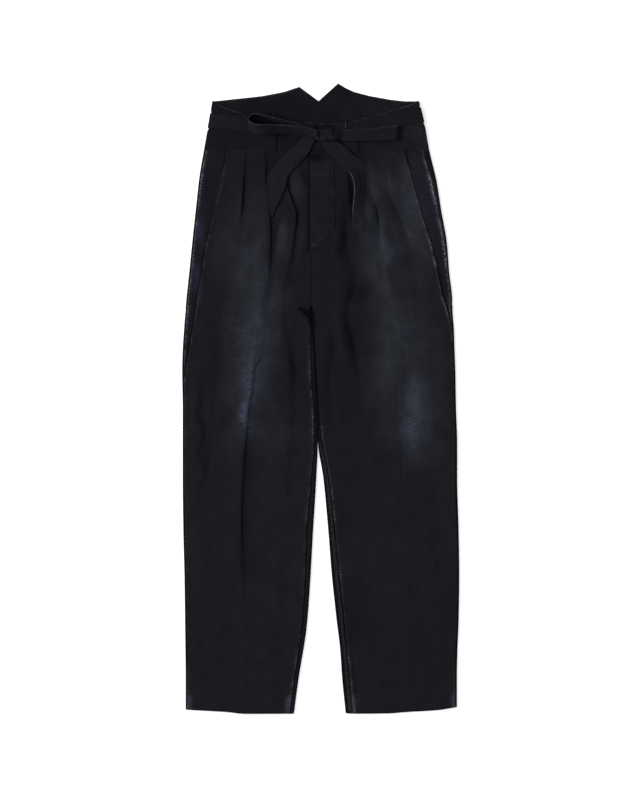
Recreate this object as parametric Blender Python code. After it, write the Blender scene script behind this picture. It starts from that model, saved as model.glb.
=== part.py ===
"""High-waisted, pleated and tapered hakama-style trousers, laid flat with the front up.

Frame: +X to the wearer's left, +Y up towards the waist, +Z up from the surface they lie on.
The origin is the middle of the underside.  Tables are in millimetres.  "height" is measured up
from the hem line, and "_r" and "_l" are the wearer's right (-X) and left (+X).
"""

import math
from types import SimpleNamespace

import bpy
from mathutils import Vector
from mathutils.bvhtree import BVHTree

MM = 0.001

# Driving dimensions, in millimetres
LENGTH = 1071.4  # hem line to the higher point of the back notch
WAIST_SEAM = 958.0  # height of the seam under the waistband
CROTCH = 690.0  # height of the crotch point
HEM_DEPTH = 17.0  # the turned-up hem
CLOTH = 1.2  # thickness of the trouser cloth
HEM_CLOTH = 1.9  # thickness where the hem is turned up
BELT_CLOTH = 1.6  # thickness of the doubled belt
BELT_WIDTH = 25.0
LOOP_CLOTH = 1.8  # thickness of the bow's loops, where the belt is bunched
TAIL_CLOTH = 1.9  # thickness of the belt's ends, whose tips are turned in
CARRIER_CLOTH = 1.5  # thickness of a belt loop
GAP = 0.3  # between two pieces at a seam or lying on each other
EDGE_RISE = 4.2  # thickness of the trousers where the cloth rolls over at an edge
BELT_RISE = BELT_CLOTH + GAP  # how far the back waistband is lifted by the belt under it
BELT_PINCH = 1.5  # how far the belt draws the waistband in at each side
LAYER = CLOTH + GAP  # from one layer of a pleat to the next
CENTRE_FRONT = -14.5  # x of the front seam
SEAM_RIDGE = 0.8  # how far a felled seam stands up
SEAM_WIDTH = 5.5
EDGE_SOFT = 22.0  # how far in from an edge the cloth reaches its full height
WAIST_FADE = 16.0  # how far above the waist seam the folds are felt
HEM_FADE = 60.0  # how far up the slant of the hem is felt
FORK_FADE = 60.0  # how far above the crotch the legs' inner edges are felt
FORK_SPREAD = (0.4, 2.4)  # spacing of the back panel's first points, at the crotch and above it
POCKET_TUCK = 10.0  # how far the side panel runs in under the pocket line
POCKET_FADE = 45.0  # how far above its lower end the pocket line opens fully
WAIST_SIDE = 1020.0  # height where the waistband's sides are measured

# One row for each section of a leg: where its edges and seams lie
LEG_COLUMNS = ("height", "outer", "outseam", "pocket", "inseam", "inner")
LEG_R = (
    (0, -229, -226, -226, -53, -45),
    (60, -229, -226, -226, -45, -37),
    (150, -230, -227, -227, -32, -23),
    (230, -231, -228, -228, -26.5, -17),
    (310, -233, -230, -230, -24, -12.5),
    (400, -234, -231, -231, -16.5, -7),
    (460, -234, -231, -231, -11.5, -4.5),
    (520, -234, -231, -231, -12, -5.5),
    (580, -235, -232, -229, -17, -7.5),
    (620, -234, -231, -222.5, -18, -8.5),
    (650, -232, -229, -217.5, -17.5, -10.5),
    (688, -229, -226, -211.5, -17.5, -14.5),
    (691, -229, -226, -211, -17.5, -14.5),
    (703, -228, -225, -209.5, -14.5, -14.5),
    (750, -223, -220, -201, -14.5, -14.5),
    (800, -218, -215, -193, -14.5, -14.5),
    (860, -211.5, -208.5, -179, -14.5, -14.5),
    (910, -206, -203, -167, -14.5, -14.5),
    (958, -198, -195, -160, -14.5, -14.5),
    (1000, -190.5, -186, -155, -14.5, -14.5),
    (1040, -184, -179.5, -150, -14.5, -14.5),
)
LEG_L = (
    (0, 232, 229, 229, 56, 43),
    (60, 232, 229, 229, 50.5, 37),
    (110, 233, 230, 230, 45.5, 33.5),
    (160, 235, 232, 232, 41, 27.5),
    (240, 236, 233, 233, 32.5, 19),
    (310, 235, 232, 232, 25.5, 13.5),
    (400, 232.5, 229.5, 229.5, 15.5, 5),
    (460, 232.5, 229.5, 229.5, 5, -3.5),
    (520, 230.5, 227.5, 227.5, -1, -5.5),
    (580, 229.5, 226.5, 226.5, -4, -7.5),
    (620, 228, 225, 225, -5.5, -8.5),
    (652, 227, 224, 223.5, -7, -10.5),
    (688, 224.5, 221.5, 214.5, -11.5, -14.5),
    (691, 224.5, 221.5, 213.5, -11.5, -14.5),
    (703, 224, 221, 209, -14.5, -14.5),
    (750, 219, 216, 199, -14.5, -14.5),
    (800, 215, 210, 187, -14.5, -14.5),
    (855, 205.5, 199, 169.5, -14.5, -14.5),
    (905, 197.5, 188, 156.5, -14.5, -14.5),
    (958, 185, 174.5, 143, -14.5, -14.5),
    (1000, 177.5, 172, 137.5, -14.5, -14.5),
    (1040, 168, 163.5, 132, -14.5, -14.5),
)
POCKET_END = {"r": 571.0, "l": 652.0}  # height where the pocket line meets the outseam

# Thickness of the flat-lying legs along their middle
RISE_COLUMNS = ("height", "rise")
RISE = (
    (0, 4.4), (160, 4.5), (400, 4.8), (600, 5.0), (700, 5.2), (800, 5.5), (900, 5.7), (958, 5.8),
    (1000, 5.6), (1080, 5.6),
)

CENTRE_BACK_COLUMNS = ("height", "x")
CENTRE_BACK = ((0, -14.5), (691, -14.5), (703, -12.0), (850, -4.5), (1080, -3.2))

# Folds run down the front.  "depth" is how far a pleat folds back under itself, "drop" the step
# down from its lip, "rise" how much of it stands above the cloth, "sharp" 1 for a pressed lip.
FOLD_COLUMNS = ("height", "x", "depth", "drop", "rise", "sharp")
FOLDS_R = {
    "outer_pleat": (
        (0, -193, 0, 0.0, 0.0, 0.0),
        (194, -196, 0, 0.0, 0.0, 0.0),
        (317, -200, 0, 0.6, 0.3, 0.1),
        (448, -194, 0, 1.2, 0.7, 0.2),
        (533, -187, 0, 0.9, 0.5, 0.1),
        (703, -160, 0, 0.4, 0.2, 0.0),
        (805, -141, 0, 0.6, 0.3, 0.2),
        (848, -135, 0, 1.6, 0.7, 0.7),
        (873, -133, 1.5, 2.8, 0.6, 0.9),
        (921, -130, 5.0, 3.0, 0.6, 1.0),
        (958, -127, 7.0, 3.0, 0.6, 1.0),
    ),
    "crease_pleat": (
        (0, -130, 0, 0.0, 0.0, 0.0),
        (159, -132, 0, 0.2, 0.1, 0.2),
        (232, -133, 0, 1.0, 0.6, 0.5),
        (326, -134, 0, 2.4, 1.5, 0.8),
        (413, -131, 0, 2.6, 1.7, 0.8),
        (499, -124, 0, 2.4, 1.5, 0.7),
        (571, -114, 0, 1.8, 1.1, 0.5),
        (659, -101, 0, 1.2, 0.7, 0.3),
        (703, -94, 0, 1.0, 0.6, 0.3),
        (749, -87, 0, 2.0, 1.0, 0.6),
        (805, -85, 2.0, 3.0, 0.9, 0.9),
        (856, -87, 5.0, 3.0, 0.7, 1.0),
        (904, -93, 7.0, 3.0, 0.6, 1.0),
        (958, -94, 8.0, 3.0, 0.6, 1.0),
    ),
    "inner_pleat": (
        (0, -86, 0, 0.0, 0.0, 0.0),
        (312, -67, 0, 0.0, 0.0, 0.0),
        (465, -55, 0, 0.6, 0.3, 0.2),
        (550, -50, 0, 1.3, 0.7, 0.3),
        (620, -54, 0, 1.4, 0.8, 0.4),
        (644, -62, 0, 1.4, 0.8, 0.4),
        (705, -65, 0, 1.6, 0.9, 0.5),
        (768, -51, 0, 1.8, 1.0, 0.6),
        (819, -43.5, 0.5, 2.8, 1.1, 0.9),
        (848, -41, 3.0, 3.0, 0.9, 1.0),
        (868, -47, 5.0, 3.0, 0.7, 1.0),
        (899, -57, 7.0, 3.0, 0.6, 1.0),
        (958, -61, 7.0, 3.0, 0.6, 1.0),
    ),
}
FOLDS_L = {
    "outer_pleat": (
        (0, 186, 0, 0.0, 0.0, 0.0),
        (312, 186, 0, 0.0, 0.0, 0.0),
        (431, 186, 0, 0.4, 0.2, 0.1),
        (533, 183, 0, 0.8, 0.4, 0.2),
        (618, 176, 0, 0.8, 0.4, 0.2),
        (703, 169, 0, 1.0, 0.5, 0.3),
        (771, 159, 0, 1.4, 0.7, 0.4),
        (810, 149, 0, 2.2, 1.1, 0.6),
        (846, 135, 0.5, 2.8, 1.0, 0.9),
        (882, 119, 4.0, 3.0, 0.7, 1.0),
        (921, 112.5, 6.0, 3.0, 0.6, 1.0),
        (958, 109, 7.0, 3.0, 0.6, 1.0),
    ),
    "crease_pleat": (
        (0, 140, 0, 0.0, 0.0, 0.0),
        (312, 140, 0, 0.3, 0.2, 0.2),
        (430, 140, 0, 0.8, 0.5, 0.4),
        (499, 133, 0, 1.2, 0.7, 0.5),
        (669, 130, 0, 1.2, 0.7, 0.5),
        (703, 122, 0, 1.0, 0.6, 0.4),
        (754, 110, 0, 1.4, 0.8, 0.4),
        (805, 102, 0, 2.0, 1.2, 0.6),
        (838, 100, 1.0, 3.0, 1.2, 0.9),
        (856, 97.5, 4.0, 3.0, 0.9, 1.0),
        (887, 87, 6.0, 3.0, 0.7, 1.0),
        (958, 79, 8.0, 3.0, 0.6, 1.0),
    ),
    "thigh_fold": (
        (0, 98, 0, 0.0, 0.0, 0.0),
        (312, 80, 0, 0.0, 0.0, 0.0),
        (499, 70, 0, 0.5, 0.2, 0.2),
        (580, 68, 0, 1.4, 0.5, 0.4),
        (634, 57, 0, 1.8, 0.6, 0.5),
        (675, 49, 0, 1.6, 0.5, 0.5),
        (703, 53, 0, 1.8, 0.6, 0.5),
        (729, 60, 0, 1.8, 0.6, 0.5),
        (768, 54, 0, 1.5, 0.5, 0.5),
        (839, 38.5, 0, 1.5, 0.5, 0.5),
        (958, 38.5, 0, 0.6, 0.2, 0.3),
    ),
    "crotch_fold": (
        (0, 70, 0, 0.0, 0.0, 0.0),
        (227, 56, 0, 0.0, 0.0, 0.0),
        (431, 34, 0, 0.2, 0.1, 0.2),
        (499, 22, 0, 1.2, 0.4, 0.4),
        (547, 18, 0, 1.6, 0.5, 0.5),
        (589, 19, 0, 1.6, 0.5, 0.5),
        (622, 26, 0, 1.4, 0.4, 0.4),
        (669, 22, 0, 0.8, 0.3, 0.2),
        (754, 12, 0, 0.0, 0.0, 0.0),
        (958, 8, 0, 0.0, 0.0, 0.0),
    ),
}
PLEATS = ("outer_pleat", "crease_pleat", "inner_pleat")
HIGH_REACH = 30.0  # how far the cloth slopes up to a fold's lip
LOW_REACH = 20.0  # how far it takes to come up out of the valley
FLAT_STEPS = (-6.0, -3.5, -1.6, 0.0, 1.4, 2.8, 4.2, 7.0, 11.0)  # a pleat's points when it is open
PAST_STEPS = (4.0, 10.0)  # the last two of them, past a pleat that is folded
DROP_SHARES = (0.0, 0.0, 0.25, 0.5, 0.5, 0.75, 1.0, 1.05, 0.55)
CREASE_STEPS = (-9.0, 0.0, 9.0)

# Soft hollows pressed into the cloth
DENT_COLUMNS = ("x", "height", "half_width", "half_height", "depth")
DENTS = ((-24, 682, 12, 12, 1.6), (-50, 560, 9, 30, 0.8), (75, 740, 12, 22, 1.0))

# Where the hem line is not square: how far it rises above its lowest line
HEM_COLUMNS = ("x", "rise")
HEM_R = ((-236, 7.6), (-217, 6.4), (-157, 2.9), (-128, 0.0), (-40, 0.3))
HEM_L = ((40, 1.0), (64, 0.3), (115, 0.7), (144, 2.9), (199, 6.3), (232, 11.5), (240, 12.5))

EDGE_COLUMNS = ("x", "height")
FRONT_EDGE = (
    (-200, 1041), (-181, 1041), (-162, 1030), (-137, 1022), (-125, 1016), (-77, 1011), (-31, 1006.5),
    (-10, 1003.7), (23, 1003.7), (43, 1002.5), (64, 1010), (86, 1014.5), (122, 1026), (154, 1035.5),
    (164, 1041), (180, 1041),
)
BACK_EDGE = (
    (-200, 1041), (-181, 1041), (-130, 1046.5), (-98, 1050), (-62, 1057), (-36, 1065.6), (-3.2, 1041.4),
    (30, 1071.4), (42, 1064), (57, 1057), (84, 1050), (120, 1043.5), (144, 1041), (180, 1041),
)

# The belt: one row for each place along its middle line
BELT_COLUMNS = ("x", "height")
BELT = (
    (-200, 1008), (-188, 1007.5), (-137, 1004), (-86, 999), (-35, 994), (-7.5, 989), (26.5, 987),
    (67, 996), (101, 1004), (135, 1012), (174, 1017.5), (190, 1018),
)
BELT_BACK_ENDS = ((-195, 1007.5), (176, 1017.5))

# Heights of the sections through a leg
LEG_HEIGHTS = (
    0, HEM_DEPTH - 2, HEM_DEPTH + 2, 45, 100, 160, 230, 310, 400, 460, 520, POCKET_END["r"], 620,
    POCKET_END["l"], 676, 688, 691, 703, 730, 770, 805, 825, 845, 862, 882, 904, 925, 944, WAIST_SEAM,
)

# Places of the points across the pieces
FRONT_FILL = {"r": (2, 1, 2, 2), "l": (2, 1, 1, 0, 0)}  # points between neighbouring folds
BACK_FILL = 4
FRONT_BAND_COLUMNS = 14
WAISTBAND_PLACES = {
    "r": (-20.0, -36.0, -62.0, -98.0, -130.0, -158.0),
    "l": (13.0, 30.0, 42.0, 57.0, 84.0, 120.0, 144.0),
}
BELT_BACK_STEPS = 8
BELT_STEPS = 14
STRAND_TURN = 14.0  # how far in from the side edge a strand starts to roll over it
STRAND_END = 9.0  # how far in from the side edge a strand ends under the back

FLY_COLUMNS = ("height", "left", "right")
FLY = (
    (786, -19.5, -15.5), (791, -19.5, -2.5), (801, -19.5, 11.0), (815, -19.5, 19.5), (832, -19.5, 24.5),
    (870, -19.5, 22.5), (914, -19.5, 22.5), (957.5, -19.5, 22.5),
)
BELT_LOOPS = {"r": (-94.0, -75.5), "l": (42.0, 64.0)}  # left and right edges
LOOP_FOOT = 953.0  # height of a belt loop's lower end

# The knot: a pinched barrel along X.  "along" is the share of its length, "wide" and "tall" shares
# of its full width and height.
KNOT_LEFT = -7.5
KNOT_RIGHT = 26.5
KNOT_HEIGHT = 983.0
KNOT_HALF = 9.8
KNOT_RISE = 11.5
KNOT_AROUND = 14
KNOT_CREASE = 0.07
KNOT_SQUARE = 0.8
KNOT_COLUMNS = ("along", "wide", "tall")
KNOT = (
    (0.0, 0.84, 0.72), (0.10, 0.97, 0.88), (0.3, 1.0, 1.0), (0.5, 0.96, 1.0), (0.7, 0.90, 0.96),
    (0.9, 0.80, 0.85), (1.0, 0.66, 0.66),
)

# The bow's open loop: the middle of its band from the knot outwards.  "gap" is the space between
# its two strands and "tilt" how far the band leans up off the cloth, in degrees.
OPEN_LOOP_COLUMNS = ("x", "height", "gap", "tilt", "width")
OPEN_LOOP = (
    (-9.0, 983.5, 2.6, 10.0, 12.0),
    (-18.0, 987.5, 3.6, 20.0, 13.0),
    (-30.0, 991.8, 6.3, 34.0, 13.5),
    (-48.0, 995.3, 9.6, 45.0, 15.5),
    (-70.0, 997.0, 15.4, 46.0, 18.8),
    (-92.0, 998.6, 23.2, 46.0, 22.0),
    (-108.0, 1000.5, 26.5, 48.0, 22.5),
    (-117.0, 1002.9, 18.5, 53.0, 21.0),
    (-122.5, 1004.2, 0.0, 56.0, 20.0),
)

# The bow's flat loop: the middle of its under layer and of its upper layer
FLAT_LOOP_COLUMNS = ("x", "under_height", "upper_height", "apart", "width")
FLAT_LOOP = (
    (28.5, 982.5, 981.5, 2.6, 14.0),
    (36.0, 983.0, 981.2, 3.0, 16.0),
    (45.0, 983.6, 981.4, 3.2, 17.5),
    (66.0, 984.4, 982.0, 3.6, 19.0),
    (90.0, 985.6, 983.4, 4.0, 20.6),
    (112.0, 987.0, 984.8, 4.0, 22.4),
    (127.0, 988.2, 986.0, 3.6, 23.4),
)
FLAT_LOOP_END = (131.5, 987.1)  # x and height of its straight end
FLAT_LOOP_SLANT = 0.03  # how far its end leans out of square

# The belt's hanging ends, with the lift of each edge off the cloth under it
TAIL_COLUMNS = ("left_x", "left_height", "right_x", "right_height", "left_lift", "right_lift")
TAIL_R = (
    (-31.0, 980.0, -9.0, 974.5, 0.5, 0.5),
    (-44.0, 967.0, -18.0, 956.0, 0.6, 0.6),
    (-57.0, 955.0, -28.5, 942.5, 0.3, 0.8),
    (-71.0, 941.0, -41.5, 929.0, 0.0, 0.6),
    (-82.0, 927.5, -51.5, 919.0, 0.0, 0.4),
    (-90.0, 914.0, -56.5, 909.0, 0.0, 0.3),
    (-91.5, 900.5, -58.5, 897.0, 0.0, 0.3),
    (-91.0, 885.0, -63.5, 883.5, 0.0, 0.3),
    (-89.0, 870.0, -70.5, 868.0, 0.0, 0.2),
    (-86.5, 854.5, -77.5, 854.5, 0.0, 0.0),
    (-84.0, 843.5, -81.5, 843.0, 0.0, 0.0),
)
TAIL_L = (
    (2.0, 967.5, 27.5, 973.0, 2.5, 2.5),
    (11.0, 956.0, 40.0, 965.0, 1.5, 1.2),
    (21.0, 945.0, 54.0, 952.0, 1.0, 0.8),
    (32.0, 934.5, 64.0, 945.0, 1.5, 0.4),
    (43.0, 925.0, 73.0, 937.5, 4.0, 0.0),
    (51.5, 916.0, 75.5, 926.5, 7.0, 0.0),
    (57.0, 899.0, 74.5, 904.0, 9.0, 0.0),
    (57.0, 880.0, 74.0, 882.0, 9.0, 0.0),
    (55.0, 861.5, 74.0, 861.5, 7.5, 0.0),
    (54.0, 842.0, 74.5, 839.0, 5.0, 0.0),
    (54.0, 829.0, 75.0, 819.0, 3.0, 0.0),
)


def cloth_material(name, colour, roughness):
    """A matt woven cloth."""
    material = bpy.data.materials.new(name)
    material.use_nodes = True
    shader = material.node_tree.nodes["Principled BSDF"]
    shader.inputs["Base Color"].default_value = (*colour, 1.0)
    shader.inputs["Roughness"].default_value = roughness
    shader.inputs["Metallic"].default_value = 0.0
    return material


def smooth(value):
    """0 to 1 with soft ends."""
    value = min(max(value, 0.0), 1.0)
    return value * value * (3.0 - 2.0 * value)


def lerp(a, b, t):
    return a + (b - a) * t


def curve(table, columns, name):
    """A smooth function through one named column of a table, over its first column."""
    at = columns.index(name)
    places = [row[0] for row in table]
    values = [row[at] for row in table]
    rates = [(values[i + 1] - values[i]) / (places[i + 1] - places[i]) for i in range(len(places) - 1)]
    slopes = [rates[0]]
    for before, after in zip(rates, rates[1:]):
        slopes.append(0.0 if before * after <= 0 else 2.0 * before * after / (before + after))
    slopes.append(rates[-1])

    def value_at(place):
        place = min(max(place, places[0]), places[-1])
        i = 0
        while i < len(places) - 2 and place > places[i + 1]:
            i += 1
        span = places[i + 1] - places[i]
        t = (place - places[i]) / span
        rise = values[i + 1] - values[i]
        start = slopes[i] * span
        end = slopes[i + 1] * span
        cubic = start + end - 2.0 * rise
        square = 3.0 * rise - 2.0 * start - end
        return values[i] + t * (start + t * (square + t * cubic))

    return value_at


def broken_line(table, columns, name):
    """A function through one named column of a table, straight between its points."""
    at = columns.index(name)

    def value_at(place):
        place = min(max(place, table[0][0]), table[-1][0])
        for before, after in zip(table, table[1:]):
            if place <= after[0]:
                return lerp(before[at], after[at], (place - before[0]) / (after[0] - before[0]))
        return table[-1][at]

    return value_at


def named_rows(columns, table):
    """The rows of a table, with each value under its column's name."""
    return [SimpleNamespace(**dict(zip(columns, row))) for row in table]


middle_rise = curve(RISE, RISE_COLUMNS, "rise")
centre_back = curve(CENTRE_BACK, CENTRE_BACK_COLUMNS, "x")
front_edge = broken_line(FRONT_EDGE, EDGE_COLUMNS, "height")
back_edge = broken_line(BACK_EDGE, EDGE_COLUMNS, "height")
belt_line = curve(BELT, BELT_COLUMNS, "height")
belt_back_line = broken_line(BELT_BACK_ENDS, BELT_COLUMNS, "height")


def edge_rise(height):
    """Thickness at the rolled edge, which grows where the belt passes behind the waistband."""
    return EDGE_RISE + BELT_RISE * smooth((height - WAIST_SEAM) / 30.0)


def belt_lift(x, height):
    """How high the belt lifts the back waistband here."""
    off = abs(height - belt_back_line(x)) - (0.5 * BELT_WIDTH + 1.0)
    return BELT_RISE * (1.0 - smooth(off / 5.0))


def slope_off(distance, reach):
    """1 at the fold, falling softly to 0 at its reach."""
    return 1.0 - smooth(abs(distance) / reach)


class Leg:
    """One leg: its outline, its folds and the height of its cloth.  "inward" is +1 where +X runs
    from the outer edge towards the middle of the body."""

    def __init__(self, side, table, folds, hem, inward):
        self.side = side
        self.inward = inward
        for name in LEG_COLUMNS[1:]:
            setattr(self, name, curve(table, LEG_COLUMNS, name))
        self.hem = curve(hem, HEM_COLUMNS, "rise")
        self.folds = {}
        for fold, rows in folds.items():
            self.folds[fold] = {name: curve(rows, FOLD_COLUMNS, name) for name in FOLD_COLUMNS[1:]}

    def front_outer(self, height):
        """The front panel's outer seam: the pocket line, then the outseam."""
        return self.pocket(height) if height > POCKET_END[self.side] else self.outseam(height)

    def fold_height(self, fold, x, height):
        """How far one fold lifts or lowers the cloth at x."""
        shape = self.folds[fold]
        below_waist = 1.0 - smooth((height - WAIST_SEAM) / WAIST_FADE)
        rise = shape["rise"](height) * below_waist
        drop = shape["drop"](height) * below_waist
        distance = self.inward * (x - shape["x"](height))
        if distance < 0:
            return rise * slope_off(distance, HIGH_REACH)
        return (rise - drop) * slope_off(distance, LOW_REACH)

    def cloth_top(self, x, height, without=None):
        """Height of the cloth's upper face, leaving one fold out where that fold is drawn itself."""
        from_outer = self.inward * (x - self.outer(height))
        past_fork = smooth((height - CROTCH) / FORK_FADE)
        from_inner = self.inward * (self.inner(height) - x) + FORK_FADE * past_fork
        edge = edge_rise(height)
        low = smooth(min(from_outer, from_inner) / EDGE_SOFT)
        top = lerp(edge, middle_rise(height), low)
        for fold in self.folds:
            if fold != without:
                top += low * self.fold_height(fold, x, height)
        for dent in named_rows(DENT_COLUMNS, DENTS):
            off = math.hypot((x - dent.x) / dent.half_width, (height - dent.height) / dent.half_height)
            top -= dent.depth * (1.0 - smooth(off))
        return top

    def pleat_points(self, fold, height, thick):
        """The section through one pleat, from its high side to its low side."""
        shape = self.folds[fold]
        x = shape["x"](height)
        depth = shape["depth"](height)
        drop = shape["drop"](height)
        rise = shape["rise"](height)
        sharp = shape["sharp"](height)
        bend = 0.5 * LAYER
        back = max(depth, bend)
        folded = (FLAT_STEPS[0], -2.0 * bend, 0.0, -bend, bend - back, -back, bend - back, *PAST_STEPS)
        base = self.cloth_top(x, height, without=fold) - 0.5 * thick
        points = []
        for open_x, folded_x, share in zip(FLAT_STEPS, folded, DROP_SHARES):
            along = lerp(open_x, folded_x, sharp)
            level = base + rise - drop * share
            points.append((x + self.inward * along, level))
        first = points[0]
        last = points[-1]
        points[0] = (first[0], self.cloth_top(first[0], height) - 0.5 * thick)
        points[-1] = (last[0], self.cloth_top(last[0], height) - 0.5 * thick)
        return points

    def crease_points(self, fold, height, thick):
        """The section through a soft crease."""
        x = self.folds[fold]["x"](height)
        points = []
        for step in CREASE_STEPS:
            place = x + self.inward * step
            points.append((place, self.cloth_top(place, height) - 0.5 * thick))
        return points

    def front_section(self, height, thick):
        """The middle of the front panel's wall, from its outer seam to its inner seam."""
        start = self.front_outer(height) + self.inward * 0.5 * GAP
        end = self.inseam(height) - self.inward * 0.5 * GAP
        seamed = 1.0 - smooth((height - CROTCH + 30.0) / 30.0)

        def at(x, ridge=0.0):
            return (x, self.cloth_top(x, height) - 0.5 * thick + ridge)

        groups = [[at(start, 0.7 * SEAM_RIDGE), at(start + self.inward * SEAM_WIDTH, 0.7 * SEAM_RIDGE)]]
        groups[0].append(at(start + self.inward * 1.5 * SEAM_WIDTH))
        for fold in self.folds:
            if fold in PLEATS:
                groups.append(self.pleat_points(fold, height, thick))
            else:
                groups.append(self.crease_points(fold, height, thick))
        groups.append([at(end - self.inward * 1.5 * SEAM_WIDTH)])
        groups[-1].append(at(end - self.inward * SEAM_WIDTH, seamed * SEAM_RIDGE))
        groups[-1].append(at(end, seamed * SEAM_RIDGE))

        path = list(groups[0])
        for before, group, fill in zip(groups, groups[1:], FRONT_FILL[self.side]):
            for step in range(fill):
                x = lerp(before[-1][0], group[0][0], (step + 1.0) / (fill + 1.0))
                path.append(at(x))
            path.extend(group)
        return path

    def back_section(self, height, thick):
        """The middle of the back panel's wall: from the inseam, round the inner edge, across the
        underside, round the outer edge and up to the outseam.  Above the crotch it starts at the
        centre back seam instead."""
        inward = self.inward
        low = 0.5 * thick
        path = []
        if height < CROTCH:
            edge = self.inner(height) - inward * 0.5 * GAP
            top = EDGE_RISE - low
            start = self.inseam(height) + inward * 0.5 * GAP
            turn = edge - inward * 0.5 * EDGE_RISE
            path.append((start, self.cloth_top(start, height) - low))
            path.append((lerp(start, turn, 0.5), self.cloth_top(lerp(start, turn, 0.5), height) - low))
            path.extend(roll(turn, inward, 0.5 * EDGE_RISE, 0.5 * (top - low), 1.0))
        else:
            start = centre_back(height) - inward * 0.5 * GAP
            spread = lerp(*FORK_SPREAD, smooth((height - CROTCH - 1.0) / 12.0))
            path = [(start - inward * spread * step, low) for step in range(7)]
        outer_turn = self.outer(height) + inward * 0.5 * EDGE_RISE
        bottom = path[-1][0]
        for step in range(BACK_FILL):
            path.append((lerp(bottom, outer_turn, (step + 1.0) / (BACK_FILL + 1.0)), low))
        path.extend(roll(outer_turn, -inward, 0.5 * EDGE_RISE, 0.5 * EDGE_RISE - low, -1.0))
        end = self.outseam(height) - inward * 0.5 * GAP
        path.append((lerp(outer_turn, end, 0.5), self.cloth_top(lerp(outer_turn, end, 0.5), height) - low))
        path.append((end, self.cloth_top(end, height) - low))
        return path


def roll(x, outward, level, radius, down):
    """Half a turn of the wall's middle line round an edge, from the top down or from below up."""
    points = []
    for angle in (90.0, 45.0, 0.0, -45.0, -90.0):
        turn = math.radians(angle * down)
        points.append((x + outward * radius * math.cos(turn), level + radius * math.sin(turn)))
    return points


def wall_points(path, thick):
    """Both faces of a wall whose middle line is a path in x and z."""
    left = []
    right = []
    for i, (x, z) in enumerate(path):
        normals = []
        for a, b in ((i - 1, i), (i, i + 1)):
            if 0 <= a and b < len(path):
                dx = path[b][0] - path[a][0]
                dz = path[b][1] - path[a][1]
                size = math.hypot(dx, dz)
                normals.append((-dz / size, dx / size))
        nx = sum(n[0] for n in normals) / len(normals)
        nz = sum(n[1] for n in normals) / len(normals)
        size = math.hypot(nx, nz)
        reach = 0.5 * thick * min(1.0 / max(size, 0.1), 1.15) / size
        left.append((x + nx * reach, z + nz * reach))
        right.append((x - nx * reach, z - nz * reach))
    return left, right


def signed_volume(points, faces):
    total = 0.0
    for face in faces:
        a = points[face[0]]
        for b, c in zip(face[1:], face[2:]):
            total += a.dot(points[b].cross(points[c]))
    return total


SURFACES = {}  # the pieces made so far, for what lies on them


def add_solid(name, points, faces, material):
    """One closed solid from points in millimetres."""
    if signed_volume(points, faces) < 0:
        faces = [tuple(reversed(face)) for face in faces]
    mesh = bpy.data.meshes.new(name)
    mesh.from_pydata([point * MM for point in points], [], faces)
    mesh.shade_smooth()
    mesh.set_sharp_from_angle(angle=math.radians(50.0))
    mesh.materials.append(material)
    piece = bpy.data.objects.new(name, mesh)
    bpy.context.scene.collection.objects.link(piece)
    piece.parent = ROOT
    SURFACES[name] = BVHTree.FromPolygons(points, faces)
    return piece


def thick_sheet(name, upper, lower, material):
    """A closed wall between two grids of points with the same rows and columns."""
    rows = len(upper)
    columns = len(upper[0])
    points = [Vector(p) for row in upper for p in row] + [Vector(p) for row in lower for p in row]
    under = rows * columns
    faces = []
    for r in range(rows - 1):
        for c in range(columns - 1):
            a = r * columns + c
            faces.append((a, a + 1, a + columns + 1, a + columns))
            faces.append((under + a, under + a + columns, under + a + columns + 1, under + a + 1))
    for r in range(rows - 1):
        a = r * columns
        b = a + columns - 1
        faces.append((a, a + columns, under + a + columns, under + a))
        faces.append((b, under + b, under + b + columns, b + columns))
    for c in range(columns - 1):
        a = c
        b = (rows - 1) * columns + c
        faces.append((a, under + a, under + a + 1, a + 1))
        faces.append((b, b + 1, under + b + 1, under + b))
    return add_solid(name, points, faces, material)


def to_frame(x, height, z):
    """A point in the part's frame, still in millimetres."""
    return (x, height - 0.5 * LENGTH, z)


def section_rows(leg, section, heights):
    """The faces of a wall along a leg, from the section at each height."""
    upper = []
    lower = []
    for height in heights:
        thick = lerp(HEM_CLOTH, CLOTH, smooth((height - HEM_DEPTH + 2.0) / 4.0))
        left, right = wall_points(section(height, thick), thick)
        slant = max(0.0, 1.0 - height / HEM_FADE)
        upper.append([to_frame(x, height + slant * leg.hem(x), z) for x, z in left])
        lower.append([to_frame(x, height + slant * leg.hem(x), z) for x, z in right])
    return upper, lower


def make_leg(leg, cloth):
    """The front panel and the back panel of one leg."""
    heights = [min(height, WAIST_SEAM - 0.5 * GAP) for height in LEG_HEIGHTS]
    upper, lower = section_rows(leg, leg.front_section, heights)
    thick_sheet("front_leg_" + leg.side, upper, lower, cloth)
    upper, lower = section_rows(leg, leg.back_section, heights)
    thick_sheet("back_leg_" + leg.side, upper, lower, cloth)


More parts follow.
